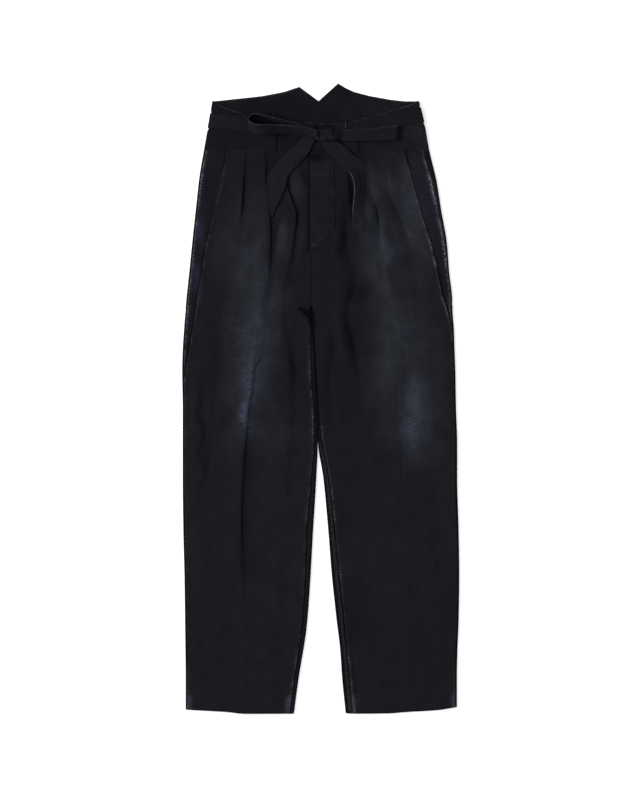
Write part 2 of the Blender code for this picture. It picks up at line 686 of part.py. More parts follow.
def make_side_panel(leg, cloth):
    """The pocket's facing, which shows between the pocket line and the outseam."""
    steps = (0.0, 0.5, 1.0)
    lowest = POCKET_END[leg.side]
    heights = [height for height in LEG_HEIGHTS if height >= lowest]
    heights[-1] = WAIST_SEAM - 0.5 * GAP
    upper = []
    lower = []
    for height in heights:
        outer = leg.outseam(height) + leg.inward * 0.5 * GAP
        line = leg.pocket(height)
        if leg.inward * (line - outer) < 2.0:
            line = outer + leg.inward * 2.0
        tucked = 1.0 - smooth((height - lowest) / POCKET_FADE)
        path = []
        for step in steps:
            x = lerp(outer, line, step)
            under = LAYER * max(smooth(1.3 * step), tucked)
            path.append((x, leg.cloth_top(x, height) - 0.5 * CLOTH - under))
        for step in (0.5, 1.0):
            x = line + leg.inward * POCKET_TUCK * step
            path.append((x, leg.cloth_top(x, height) - 0.5 * CLOTH - LAYER))
        left, right = wall_points(path, CLOTH)
        upper.append([to_frame(x, height, z) for x, z in left])
        lower.append([to_frame(x, height, z) for x, z in right])
    thick_sheet("side_panel_" + leg.side, upper, lower, cloth)


def waistband_heights(x):
    """The heights of the back waistband's rows: they follow the belt that passes behind it."""
    line = belt_back_line(x)
    half = 0.5 * BELT_WIDTH + 1.0
    clear = 6.0
    top = back_edge(x)
    high = min(line + half + clear, top - 2.0)
    return (WAIST_SEAM + 0.5 * GAP, line - half - clear, line - half, line, line + half, high, top)


def make_waistband_front(leg, cloth):
    """The shaped front waistband, from the side seam to the centre front."""
    upper = []
    lower = []
    seam = WAIST_SEAM + 0.5 * GAP
    side_heights = waistband_heights(leg.outer(WAIST_SIDE))
    for side_height in side_heights:
        share = (side_height - seam) / (side_heights[-1] - seam)
        path = []
        heights = []
        for column in range(FRONT_BAND_COLUMNS):
            start = leg.outseam(side_height) + leg.inward * 0.5 * GAP
            x = lerp(start, CENTRE_FRONT - leg.inward * 0.5 * GAP, column / (FRONT_BAND_COLUMNS - 1.0))
            height = lerp(seam, front_edge(x), share) if column else side_height
            path.append((x, leg.cloth_top(x, height) - 0.5 * CLOTH))
            heights.append(height)
        left, right = wall_points(path, CLOTH)
        upper.append([to_frame(x, h, z) for (x, z), h in zip(left, heights)])
        lower.append([to_frame(x, h, z) for (x, z), h in zip(right, heights)])
    thick_sheet("waistband_front_" + leg.side, upper, lower, cloth)


def make_waistband_back(leg, cloth):
    """Half of the back waistband, up to its notch, lifted where the belt passes under it and
    rolled over the side to the front's seam."""
    upper = []
    lower = []
    side_heights = waistband_heights(leg.outer(WAIST_SIDE))
    for row, side_height in enumerate(side_heights):
        path = []
        heights = []
        start = centre_back(side_height) - leg.inward * 0.5 * GAP
        for x in (start, *WAISTBAND_PLACES[leg.side]):
            height = waistband_heights(x)[row]
            path.append((x, belt_lift(x, height) + 0.5 * CLOTH))
            heights.append(height)
        lift = belt_lift(leg.outer(side_height), side_height)
        radius = 0.5 * (edge_rise(side_height) - lift - CLOTH)
        level = lift + 0.5 * CLOTH + radius
        drawn_in = BELT_PINCH * lift / BELT_RISE
        turn = leg.outer(side_height) + leg.inward * (radius + 0.5 * CLOTH + drawn_in)
        path.extend(roll(turn, -leg.inward, level, radius, -1.0))
        end = leg.outseam(side_height) - leg.inward * 0.5 * GAP
        for step in (0.5, 1.0):
            x = lerp(turn, end, step)
            path.append((x, leg.cloth_top(x, side_height) - 0.5 * CLOTH))
        heights.extend([side_height] * 7)
        left, right = wall_points(path, CLOTH)
        upper.append([to_frame(x, h, z) for (x, z), h in zip(left, heights)])
        lower.append([to_frame(x, h, z) for (x, z), h in zip(right, heights)])
    thick_sheet("waistband_back_" + leg.side, upper, lower, cloth)


def rest_height(x, y, reach):
    """The highest point of the pieces made so far, within a small square."""
    found = 0.0
    for i in range(5):
        for j in range(5):
            place = Vector((x + reach * (i - 2) / 2.0, y + reach * (j - 2) / 2.0, 200.0))
            for tree in SURFACES.values():
                hit = tree.ray_cast(place, Vector((0.0, 0.0, -1.0)))[0]
                if hit is not None:
                    found = max(found, hit.z)
    return found


def laid_strip(name, rows, thick, material, columns=3, reach=4.0):
    """A flat piece laid on what is under it.  A row has the columns of a tail's table."""
    upper = []
    lower = []
    for row in named_rows(TAIL_COLUMNS, rows):
        under = []
        over = []
        for column in range(columns):
            t = column / (columns - 1.0)
            height = lerp(row.left_height, row.right_height, t)
            x, y, _ = to_frame(lerp(row.left_x, row.right_x, t), height, 0.0)
            z = rest_height(x, y, reach) + GAP + lerp(row.left_lift, row.right_lift, t)
            under.append((x, y, z))
            over.append((x, y, z + thick))
        upper.append(over)
        lower.append(under)
    return thick_sheet(name, upper, lower, material)


def make_belt_back(ends, cloth):
    """The stretch of the belt that lies under the back."""
    half = 0.5 * BELT_WIDTH
    upper = []
    lower = []
    for step in range(BELT_BACK_STEPS + 1):
        x = lerp(ends[0], ends[1], step / BELT_BACK_STEPS)
        line = belt_back_line(x)
        upper.append([to_frame(x, line + side * half, BELT_CLOTH) for side in (-1.0, 1.0)])
        lower.append([to_frame(x, line + side * half, 0.0) for side in (-1.0, 1.0)])
    thick_sheet("belt_back", upper, lower, cloth)


def strand_path(leg, knot_x, end, offset):
    """One line of a strand's middle, as (x, z, height), "offset" above the belt's own line: from
    the knot over the front, round the side edge and in under the back."""
    side_x = leg.outer(belt_line(leg.outer(WAIST_SIDE)))
    radius = 0.5 * (EDGE_RISE + BELT_RISE + GAP)
    turn = radius - GAP - 0.5 * BELT_CLOTH + BELT_PINCH
    path = []
    for step in range(BELT_STEPS + 1):
        x = lerp(knot_x, side_x + leg.inward * STRAND_TURN, step / BELT_STEPS)
        height = belt_line(x) + offset
        rest = rest_height(x, height - 0.5 * LENGTH, 4.0)
        path.append((x, rest + GAP + 0.5 * BELT_CLOTH, height))
    height = belt_back_line(side_x) + offset
    centre = leg.outer(height) + leg.inward * turn
    for x, z in roll(centre, -leg.inward, 0.5 * BELT_CLOTH + radius, radius, 1.0):
        path.append((x, z, height))
    path.append((end, 0.5 * BELT_CLOTH, belt_back_line(end) + offset))
    return path


def make_belt_strand(leg, knot_x, end, cloth):
    """The belt's strand round one side, from the knot to the belt's back."""
    paths = [strand_path(leg, knot_x, end, side * 0.5 * BELT_WIDTH) for side in (-1.0, 0.0, 1.0)]
    upper = [[] for _ in paths[0]]
    lower = [[] for _ in paths[0]]
    for path in paths:
        left, right = wall_points([(x, z) for x, z, _ in path], BELT_CLOTH)
        for i, ((x_left, z_left), (x_right, z_right), (_, _, height)) in enumerate(zip(left, right, path)):
            upper[i].append(to_frame(x_left, height, z_left))
            lower[i].append(to_frame(x_right, height, z_right))
    thick_sheet("belt_strand_" + leg.side, upper, lower, cloth)


def make_belt(legs, cloth):
    """The belt: a strip under the back, and a strand round each side to the knot."""
    ends = [leg.outer(belt_back_line(leg.outer(WAIST_SIDE))) + leg.inward * STRAND_END for leg in legs]
    make_belt_back(ends, cloth)
    for leg, knot_x, end in zip(legs, (KNOT_LEFT - 0.5, KNOT_RIGHT + 0.5), ends):
        make_belt_strand(leg, knot_x, end - leg.inward * GAP, cloth)


def make_fly(cloth):
    """The fly placket, closed left over right, with its curved end."""
    rows = [(row.left, row.height, row.right, row.height, 0.0, 0.0) for row in named_rows(FLY_COLUMNS, FLY)]
    laid_strip("fly_placket", rows, CLOTH, cloth, columns=6)


def make_belt_loop(side, cloth):
    """A belt loop over the belt, from the waist seam to the waistband's upper edge."""
    left, right = BELT_LOOPS[side]
    middle = 0.5 * (left + right)
    belt = belt_line(middle)
    reach = 0.5 * BELT_WIDTH
    top = front_edge(middle) - 1.0
    heights = [LOOP_FOOT, LOOP_FOOT + 12.0, belt - reach - 5.0, belt - reach + 1.0, belt]
    heights += [min(belt + reach - 2.0, top - 3.0), top]
    rows = [(left, height, right, height, 0.0, 0.0) for height in heights]
    laid_strip("belt_loop_" + side, rows, CARRIER_CLOTH, cloth, reach=6.0)


def ribbon(name, centres, thick, material):
    """A band along a path.  A row is (point, half the band's width as a vector across it)."""
    upper = []
    lower = []
    count = len(centres)
    for i, (point, across) in enumerate(centres):
        ahead = centres[min(i + 1, count - 1)][0] - centres[max(i - 1, 0)][0]
        normal = ahead.cross(across).normalized() * (0.5 * thick)
        upper.append([point + across * side + normal for side in (-1.0, 0.0, 1.0)])
        lower.append([point + across * side - normal for side in (-1.0, 0.0, 1.0)])
    return thick_sheet(name, upper, lower, material)


def make_open_loop(cloth):
    """The bow's loop on the wearer's right, which stands open, resting on its lower edges."""
    front = []
    rear = []
    for row in named_rows(OPEN_LOOP_COLUMNS, OPEN_LOOP):
        angle = math.radians(row.tilt)
        across = Vector((0.0, math.cos(angle), math.sin(angle))) * (0.5 * row.width)
        apart = Vector((0.0, -math.sin(angle), math.cos(angle))) * (0.5 * row.gap)
        centre = Vector(to_frame(row.x, row.height, 0.0))
        level = 0.0
        for side in (-1.0, 1.0):
            for share in (-1.0, -0.5, 0.0, 0.5, 1.0):
                point = centre + apart * side + across * share
                rest = rest_height(point.x, point.y, 7.0) + GAP
                level = max(level, rest - point.z + 0.5 * LOOP_CLOTH)
        centre.z = level
        front.append((centre + apart, across))
        rear.append((centre - apart, across))
    ribbon("bow_loop_r", front + rear[-2::-1], LOOP_CLOTH, cloth)


def make_flat_loop(cloth):
    """The bow's loop on the wearer's left, pressed flat."""
    under = []
    upper = []
    for row in named_rows(FLAT_LOOP_COLUMNS, FLAT_LOOP):
        across = Vector((FLAT_LOOP_SLANT, 0.5, 0.0)) * row.width
        level = 0.0
        for share in (-0.5, -0.25, 0.0, 0.25, 0.5):
            y = row.under_height - 0.5 * LENGTH + share * row.width
            level = max(level, rest_height(row.x, y, 8.0) + GAP + 0.5 * LOOP_CLOTH)
        under.append((Vector(to_frame(row.x, row.under_height, level)), across))
        upper.append((Vector(to_frame(row.x, row.upper_height, level + row.apart)), across))
    x, height = FLAT_LOOP_END
    tip = Vector(to_frame(x, height, 0.5 * (under[-1][0].z + upper[-1][0].z)))
    ribbon("bow_loop_l", under + [(tip, across)] + upper[::-1], LOOP_CLOTH, cloth)


def squared(value):
    """A share of a round section, made a little squarer."""
    return math.copysign(abs(value) ** KNOT_SQUARE, value)


def make_knot(cloth):
    """The band pulled tight over the belt: a soft, pinched barrel of cloth."""
    base = rest_height(0.5 * (KNOT_LEFT + KNOT_RIGHT), KNOT_HEIGHT - 0.5 * LENGTH, 10.0) + GAP
    points = []
    for row in named_rows(KNOT_COLUMNS, KNOT):
        x = lerp(KNOT_LEFT, KNOT_RIGHT, row.along)
        for k in range(KNOT_AROUND):
            turn = 2.0 * math.pi * k / KNOT_AROUND
            crease = 1.0 - KNOT_CREASE * math.cos(3.0 * turn + 2.0 * row.along)
            across = squared(math.cos(turn)) * KNOT_HALF * row.wide * crease
            level = base + 0.5 * KNOT_RISE * (1.0 + squared(math.sin(turn)) * row.tall * crease)
            points.append(Vector(to_frame(x, KNOT_HEIGHT + across, level)))
    last = len(points) - KNOT_AROUND
    faces = [tuple(range(KNOT_AROUND)), tuple(range(last, len(points)))[::-1]]
    for ring in range(0, last, KNOT_AROUND):
        for k in range(KNOT_AROUND):
            a = ring + k
            b = ring + (k + 1) % KNOT_AROUND
            faces.append((b, a, a + KNOT_AROUND, b + KNOT_AROUND))
    return add_solid("knot", points, faces, cloth)


def make_tail(side, rows, cloth):
    """One hanging end of the bow, laid down over the front."""
    laid_strip("tail_" + side, rows, TAIL_CLOTH, cloth, columns=4, reach=8.0)


for old in list(bpy.data.objects):
    bpy.data.objects.remove(old, do_unlink=True)

ROOT = bpy.data.objects.new("trousers", None)
bpy.context.scene.collection.objects.link(ROOT)

denim = cloth_material("washed_denim", (0.012, 0.012, 0.016), 0.9)
side_denim = cloth_material("side_denim", (0.014, 0.012, 0.020), 0.9)
band_denim = cloth_material("band_denim", (0.008, 0.008, 0.011), 0.92)
belt_cloth = cloth_material("belt_cloth", (0.010, 0.010, 0.013), 0.9)

leg_r = Leg("r", LEG_R, FOLDS_R, HEM_R, 1.0)
leg_l = Leg("l", LEG_L, FOLDS_L, HEM_L, -1.0)
for leg in (leg_r, leg_l):
    make_leg(leg, denim)
    make_side_panel(leg, side_denim)
    make_waistband_front(leg, band_denim)
    make_waistband_back(leg, band_denim)
make_fly(denim)
make_belt((leg_r, leg_l), belt_cloth)
for side in BELT_LOOPS:
    make_belt_loop(side, band_denim)
make_tail("r", TAIL_R, belt_cloth)
make_tail("l", TAIL_L, belt_cloth)
make_knot(belt_cloth)
make_open_loop(belt_cloth)
make_flat_loop(belt_cloth)
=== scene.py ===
"""Looks of the hakama-style trousers: washed dark denim, laid flat with the front up, and a cloth
belt tied in a bow.

Tables are in millimetres, in the part's own frame: x runs to the wearer's left, "height" up from
the hem line and z up from the surface.  "_r" and "_l" are the wearer's right (-X) and left (+X).
"""

import math
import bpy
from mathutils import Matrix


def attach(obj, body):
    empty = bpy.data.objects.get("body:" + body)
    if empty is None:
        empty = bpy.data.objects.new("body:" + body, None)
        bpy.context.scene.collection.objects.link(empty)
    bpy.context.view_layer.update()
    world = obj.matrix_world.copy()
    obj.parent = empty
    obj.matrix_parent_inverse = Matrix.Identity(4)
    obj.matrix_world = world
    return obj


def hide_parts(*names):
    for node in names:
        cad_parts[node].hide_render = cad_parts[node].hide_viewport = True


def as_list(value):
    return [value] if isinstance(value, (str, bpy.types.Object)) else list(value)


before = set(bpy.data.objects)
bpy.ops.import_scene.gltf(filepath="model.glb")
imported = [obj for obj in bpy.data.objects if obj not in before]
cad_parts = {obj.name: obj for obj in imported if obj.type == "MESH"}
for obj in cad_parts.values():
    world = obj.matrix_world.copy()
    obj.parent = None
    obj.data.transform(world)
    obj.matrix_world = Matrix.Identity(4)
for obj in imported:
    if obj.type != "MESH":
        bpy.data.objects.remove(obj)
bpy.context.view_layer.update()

from types import SimpleNamespace

import bpy
import numpy as np
from mathutils import Vector
from mathutils.bvhtree import BVHTree

MM = 0.001

LENGTH = 1071.4  # hem line to the higher point of the back notch
WAIST_SEAM = 958.0  # height of the seam under the waistband
CROTCH = 690.0  # height of the crotch point
HOLLOW = 668.0  # height where the hollow under the crotch ends
WAIST_SIDE = 1020.0  # height where the waistband's sides are measured
BELT_SIDE = 1010.0  # height where the belt meets the sides
HEM_DEPTH = 17.0  # the turned-up hem
CLOTH = 1.2  # thickness of the trouser cloth
HEM_CLOTH = 1.9  # thickness where the hem is turned up
BELT_CLOTH = 1.6  # thickness of the doubled belt
BELT_WIDTH = 25.0
GAP = 0.3  # between two pieces at a seam or lying on each other
EDGE_RISE = 4.2  # thickness of the trousers where the cloth rolls over at an edge
BELT_RISE = BELT_CLOTH + GAP  # how far the back waistband is lifted by the belt under it
BELT_PINCH = 1.5  # how far the belt draws the waistband in at each side
LAYER = CLOTH + GAP  # from one layer of a pleat to the next
CENTRE_FRONT = -14.5  # x of the front seam
SEAM_RIDGE = 0.8  # how far a felled seam stands up
SEAM_WIDTH = 5.5
EDGE_SOFT = 22.0  # how far in from an edge the cloth reaches its full height
WAIST_FADE = 16.0  # how far above the waist seam the folds are felt
HEM_FADE = 60.0  # how far up the slant of the hem is felt
HEM_SEAM = HEM_DEPTH - 3.0  # height of the stitching that holds the hem
FORK_FADE = 60.0  # how far above the crotch the two legs' cloth joins at its full height
POCKET_TUCK = 10.0  # how far a pocket's facing goes on under the front panel
POCKET_FADE = 45.0  # how far up from the pocket line's lower end the facing lies a layer down
WAIST_LAP = 1.2  # how far the front waistband reaches down over its seam
BELT_BACK_INSET = 9.0  # how far in from each side the belt's stretch behind the back ends
STRAND_TURN = 14.0  # how far in from the side a strand starts to turn round it
LOOP_CLOTH = 1.8  # thickness of the bow's loops
TAIL_CLOTH = 1.9  # of its ends
BELT_LOOP_CLOTH = 1.5  # and of the belt loops

# One row for each section of a leg: where its edges and seams lie
LEG_COLUMNS = ("height", "outer", "outseam", "pocket", "inseam", "inner")
LEG_R = (
    (0, -229, -226, -226, -53, -45),
    (60, -229, -226, -226, -45, -37),
    (150, -230, -227, -227, -32, -23),
    (230, -231, -228, -228, -26.5, -17),
    (310, -233, -230, -230, -24, -12.5),
    (400, -234, -231, -231, -16.5, -7),
    (460, -234, -231, -231, -11.5, -4.5),
    (520, -234, -231, -231, -12.5, -6),
    (580, -235, -232, -229, -17, -9),
    (620, -234, -231, -222.5, -17.5, -11),
    (650, -232, -229, -217.5, -17, -13),
    (672, -230.5, -227.5, -214, -19, -14),
    (688, -229, -226, -211.5, -18.5, -14.5),
    (691, -229, -226, -211, -17.5, -14.5),
    (697, -228.5, -225.5, -210.5, -14.5, -14.5),
    (703, -228, -225, -209.5, -14.5, -14.5),
    (750, -223, -220, -201, -14.5, -14.5),
    (800, -218, -215, -193, -14.5, -14.5),
    (860, -211.5, -208.5, -179, -14.5, -14.5),
    (910, -206, -203, -167, -14.5, -14.5),
    (958, -198, -195, -160, -14.5, -14.5),
    (1000, -190.5, -186, -155, -14.5, -14.5),
    (1040, -184, -179.5, -150, -14.5, -14.5),
)
LEG_L = (
    (0, 232, 229, 229, 56, 43),
    (60, 232, 229, 229, 50.5, 37),
    (110, 233, 230, 230, 45.5, 33.5),
    (160, 235, 232, 232, 41, 27.5),
    (240, 236, 233, 233, 32.5, 19),
    (310, 235, 232, 232, 25.5, 13.5),
    (400, 232.5, 229.5, 229.5, 15.5, 5),
    (460, 232.5, 229.5, 229.5, 4.5, -4),
    (520, 230.5, 227.5, 227.5, -2.5, -6),
    (580, 229.5, 226.5, 226.5, -6, -9),
    (620, 228, 225, 225, -8.5, -11),
    (652, 227, 224, 223.5, -10, -13),
    (672, 225.5, 222.5, 218.5, -11.5, -14),
    (688, 224.5, 221.5, 214.5, -12.5, -14.5),
    (691, 224.5, 221.5, 213.5, -13, -14.5),
    (697, 224, 221, 211.5, -14.5, -14.5),
    (703, 224, 221, 209, -14.5, -14.5),
    (750, 219, 216, 199, -14.5, -14.5),
    (800, 215, 210, 187, -14.5, -14.5),
    (855, 205.5, 199, 169.5, -14.5, -14.5),
    (905, 197.5, 188, 156.5, -14.5, -14.5),
    (958, 185, 174.5, 143, -14.5, -14.5),
    (1000, 177.5, 172, 137.5, -14.5, -14.5),
    (1040, 168, 163.5, 132, -14.5, -14.5),
)
POCKET_END = {"r": 571.0, "l": 652.0}  # height where the pocket line meets the outseam

# Thickness of the flat-lying legs along their middle
RISE_COLUMNS = ("height", "rise")
RISE = (
    (0, 4.4), (160, 4.5), (400, 4.8), (600, 5), (700, 5.2), (800, 5.5), (900, 5.7), (958, 5.8),
    (1000, 5.6), (1080, 5.6),
)

CENTRE_BACK_COLUMNS = ("height", "x")
CENTRE_BACK = ((0, -14.5), (691, -14.5), (703, -12.0), (850, -4.5), (1080, -3.2))

# Folds run down the front.  "depth" is how far a pleat folds back under itself, "drop" the step
# down from its lip, "rise" how much of it stands above the cloth, "sharp" 1 for a pressed lip.
FOLD_COLUMNS = ("height", "x", "depth", "drop", "rise", "sharp")
FOLDS_R = {
    "outer_pleat": (
        (0, -193, 0, 0, 0, 0),
        (194, -196, 0, 0, 0, 0),
        (317, -200, 0, 0.6, 0.3, 0.1),
        (448, -194, 0, 1.2, 0.7, 0.2),
        (533, -187, 0, 0.9, 0.5, 0.1),
        (703, -160, 0, 0.4, 0.2, 0),
        (805, -141, 0, 0.6, 0.3, 0.2),
        (848, -135, 0, 1.6, 0.7, 0.7),
        (873, -133, 1.5, 2.8, 0.6, 0.9),
        (921, -130, 5, 3, 0.6, 1),
        (958, -127, 7, 3, 0.6, 1),
    ),
    "crease_pleat": (
        (0, -130, 0, 0, 0, 0),
        (159, -132, 0, 0.2, 0.1, 0.2),
        (232, -133, 0, 1, 0.6, 0.5),
        (326, -134, 0, 2.4, 1.5, 0.8),
        (413, -131, 0, 2.6, 1.7, 0.8),
        (499, -124, 0, 2.4, 1.5, 0.7),
        (571, -114, 0, 1.8, 1.1, 0.5),
        (659, -101, 0, 1.2, 0.7, 0.3),
        (703, -94, 0, 1, 0.6, 0.3),
        (749, -87, 0, 2, 1, 0.6),
        (805, -85, 2, 3, 0.9, 0.9),
        (856, -87, 5, 3, 0.7, 1),
        (904, -93, 7, 3, 0.6, 1),
        (958, -94, 8, 3, 0.6, 1),
    ),
    "inner_pleat": (
        (0, -86, 0, 0, 0, 0),
        (312, -67, 0, 0, 0, 0),
        (465, -55, 0, 0.6, 0.3, 0.2),
        (550, -50, 0, 1.3, 0.7, 0.3),
        (620, -54, 0, 1.4, 0.8, 0.4),
        (644, -62, 0, 1.4, 0.8, 0.4),
        (705, -65, 0, 1.6, 0.9, 0.5),
        (768, -51, 0, 1.8, 1, 0.6),
        (819, -43.5, 0.5, 2.8, 1.1, 0.9),
        (848, -41, 3, 3, 0.9, 1),
        (868, -47, 5, 3, 0.7, 1),
        (899, -57, 7, 3, 0.6, 1),
        (958, -61, 7, 3, 0.6, 1),
    ),
}
FOLDS_L = {
    "outer_pleat": (
        (0, 186, 0, 0, 0, 0),
        (312, 186, 0, 0, 0, 0),
        (431, 186, 0, 0.4, 0.2, 0.1),
        (533, 183, 0, 0.8, 0.4, 0.2),
        (618, 176, 0, 0.8, 0.4, 0.2),
        (703, 169, 0, 1, 0.5, 0.3),
        (771, 159, 0, 1.4, 0.7, 0.4),
        (810, 149, 0, 2.2, 1.1, 0.6),
        (846, 135, 0.5, 2.2, 0.8, 0.9),
        (882, 119, 4, 1.6, 0.4, 1),
        (921, 112.5, 6, 1.6, 0.4, 1),
        (958, 109, 7, 1.6, 0.4, 1),
    ),
    "crease_pleat": (
        (0, 140, 0, 0, 0, 0),
        (312, 140, 0, 0.3, 0.2, 0.2),
        (430, 140, 0, 0.8, 0.5, 0.4),
        (499, 133, 0, 1.2, 0.7, 0.5),
        (669, 130, 0, 1.2, 0.7, 0.5),
        (703, 122, 0, 1, 0.6, 0.4),
        (754, 110, 0, 1.4, 0.8, 0.4),
        (805, 102, 0, 2, 1.2, 0.6),
        (838, 100, 1, 3, 1.2, 0.9),
        (856, 97.5, 4, 2.6, 0.8, 1),
        (887, 87, 6, 1.8, 0.5, 1),
        (958, 79, 8, 1.6, 0.4, 1),
    ),
    "thigh_fold": (
        (0, 98, 0, 0, 0, 0),
        (312, 80, 0, 0, 0, 0),
        (499, 70, 0, 0.5, 0.2, 0.2),
        (580, 68, 0, 1.4, 0.5, 0.4),
        (634, 57, 0, 1.8, 0.6, 0.5),
        (675, 49, 0, 1.6, 0.5, 0.5),
        (703, 53, 0, 1.8, 0.6, 0.5),
        (729, 60, 0, 1.8, 0.6, 0.5),
        (768, 54, 0, 1.5, 0.5, 0.5),
        (839, 38.5, 0, 1.5, 0.5, 0.5),
        (958, 38.5, 0, 0.6, 0.2, 0.3),
    ),
    "crotch_fold": (
        (0, 70, 0, 0, 0, 0),
        (227, 56, 0, 0, 0, 0),
        (431, 34, 0, 0.2, 0.1, 0.2),
        (499, 22, 0, 1.2, 0.4, 0.4),
        (547, 18, 0, 1.6, 0.5, 0.5),
        (589, 19, 0, 1.6, 0.5, 0.5),
        (622, 26, 0, 1.4, 0.4, 0.4),
        (669, 22, 0, 0.8, 0.3, 0.2),
        (754, 12, 0, 0, 0, 0),
        (958, 8, 0, 0, 0, 0),
    ),
}
# How dark the painted shade is under a fold's lip, as a line, and in the valley beside it
SHADE_COLUMNS = ("height", "line", "valley")
FOLD_PAINTED_SHADE = {
    "r": {
        "outer_pleat": (
            (700, 0, 0), (840, 0, 0.1), (856, 0.5, 0.3), (870, 0.8, 0.35), (905, 0.75, 0.3),
            (918, 0.35, 0.15), (940, 0.15, 0.1), (958, 0.05, 0),
        ),
        "crease_pleat": (
            (215, 0, 0), (235, 0.35, 0.15), (330, 0.55, 0.4), (390, 0.5, 0.6), (460, 0.45, 0.65),
            (545, 0.35, 0.3), (570, 0.1, 0.15), (640, 0, 0.05), (720, 0, 0.05), (760, 0.1, 0.25),
            (800, 0.2, 0.4), (848, 0.6, 0.35), (935, 0.75, 0.25), (945, 0.3, 0.1), (958, 0.1, 0),
        ),
        "inner_pleat": (
            (500, 0, 0.15), (560, 0.05, 0.3), (640, 0, 0.2), (700, 0, 0.12), (800, 0.05, 0.25),
            (825, 0.4, 0.35), (840, 0.85, 0.35), (895, 0.9, 0.35), (905, 0.4, 0.2), (930, 0.1, 0.1),
            (958, 0.05, 0),
        ),
    },
    "l": {
        "outer_pleat": (
            (500, 0, 0), (640, 0, 0.1), (740, 0, 0.15), (810, 0.05, 0.25), (860, 0.15, 0.25),
            (930, 0.2, 0.1), (950, 0.05, 0), (958, 0, 0),
        ),
        "crease_pleat": (
            (340, 0, 0), (400, 0.05, 0.02), (500, 0.08, 0.02), (640, 0.08, 0.1), (700, 0, 0.05),
            (780, 0, 0.1),
            (825, 0.3, 0.15), (841, 0.85, 0.15), (856, 0.7, 0.1), (866, 0.2, 0.05), (895, 0.1, 0),
            (905, 0.05, 0.05), (958, 0, 0),
        ),
        "thigh_fold": (
            (500, 0, 0), (580, 0, 0.35), (650, 0, 0.55), (720, 0, 0.5), (780, 0, 0.4),
            (840, 0, 0.25), (958, 0, 0),
        ),
        "crotch_fold": (
            (430, 0, 0), (520, 0, 0.35), (600, 0, 0.4), (660, 0, 0.1), (958, 0, 0),
        ),
    },
}
PLEATS = ("outer_pleat", "crease_pleat", "inner_pleat")
HIGH_REACH = 30.0  # how far the cloth slopes up to a fold's lip
LOW_REACH = 20.0  # how far it takes to come up out of the valley
FLAT_STEPS = (-6.0, -3.5, -1.6, 0.0, 1.4, 2.8, 4.2, 7.0, 11.0)  # a pleat's points when it is open
DROP_SHARES = (0.0, 0.0, 0.25, 0.5, 0.5, 0.75, 1.0, 1.05, 0.55)
CREASE_STEPS = (-9.0, 0.0, 9.0)  # a soft fold's points

# Soft hollows pressed into the cloth
DENT_COLUMNS = ("x", "height", "half_width", "half_height", "depth")
DENTS = ((-24, 682, 12, 12, 1.6), (-50, 560, 9, 30, 0.8), (75, 740, 12, 22, 1.0))

# Where the hem line is not square: how far it rises above its lowest line
HEM_COLUMNS = ("x", "rise")
HEM_R = ((-236, 7.6), (-217, 6.4), (-157, 2.9), (-128, 0.0), (-40, 0.3))
HEM_L = ((40, 1.0), (64, 0.3), (115, 0.7), (144, 2.9), (199, 6.3), (232, 11.5), (240, 12.5))

# The waistbands' upper edges, as points of (x, height)
FRONT_EDGE = (
    (-200, 1041), (-181, 1041), (-162, 1030), (-137, 1022), (-125, 1016), (-77, 1011), (-31, 1006.5),
    (-10, 1003.7), (23, 1003.7), (43, 1002.5), (64, 1010), (86, 1014.5), (122, 1026), (154, 1035.5),
    (164, 1041), (180, 1041),
)
BACK_EDGE = (
    (-200, 1041), (-181, 1041), (-130, 1046.5), (-98, 1050), (-62, 1057), (-36, 1065.6), (-3.2, 1041.4),
    (30, 1071.4), (42, 1064), (57, 1057), (84, 1050), (120, 1043.5), (144, 1041), (180, 1041),
)

# The belt: one row for each place along its middle line
BELT_COLUMNS = ("x", "height")
BELT = (
    (-200, 1008), (-188, 1007.5), (-137, 1004), (-86, 999), (-35, 994), (-7.5, 989), (26.5, 987),
    (67, 996), (101, 1004), (135, 1012), (174, 1017.5), (190, 1018),
)
BELT_BACK_ENDS = ((-195, 1007.5), (176, 1017.5))
KNOT_LEFT = -7.5
KNOT_RIGHT = 26.5
KNOT_HEIGHT = 983.0
KNOT_HALF = 9.8
KNOT_RISE = 11.5

FLY_COLUMNS = ("height", "left", "right")
FLY = (
    (786, -19.5, -15.5), (791, -19.5, -2.5), (801, -19.5, 11), (815, -19.5, 19.5), (832, -19.5, 24.5),
    (870, -19.5, 22.5), (914, -19.5, 22.5), (957.5, -19.5, 22.5),
)
BELT_LOOPS = {"r": (-94.0, -75.5), "l": (42.0, 64.0)}
LOOP_FOOT = 953.0

# The bow's open loop: the middle of its band from the knot outwards, as x, height, the gap between
# its two strands, how far the band leans up off the cloth in degrees, and its width
OPEN_LOOP = (
    (-5, 983.6, 2.6, 10, 12),
    (-16, 986.9, 3.6, 20, 13),
    (-30, 991.8, 6.3, 34, 13.5),
    (-48, 995.3, 9.6, 45, 15.5),
    (-70, 997, 15.4, 46, 18.8),
    (-92, 998.6, 23.2, 46, 22),
    (-108, 1000.5, 26.5, 48, 22.5),
    (-117, 1002.9, 18.5, 53, 21),
    (-122.5, 1004.2, 0, 56, 20),
)

# The bow's flat loop: x, the heights of its under layer's and its upper layer's middle, how far
# apart the layers are, and its width
FLAT_LOOP = (
    (24, 982.3, 981.7, 2.6, 14),
    (36, 983, 981.2, 3, 16),
    (45, 983.6, 981.4, 3.2, 17.5),
    (66, 984.4, 982, 3.6, 19),
    (90, 985.6, 983.4, 4, 20.6),
    (112, 987, 984.8, 4, 22.4),
    (127, 988.2, 986, 3.6, 23.4),
)
FLAT_LOOP_END = (131.5, 987.1)

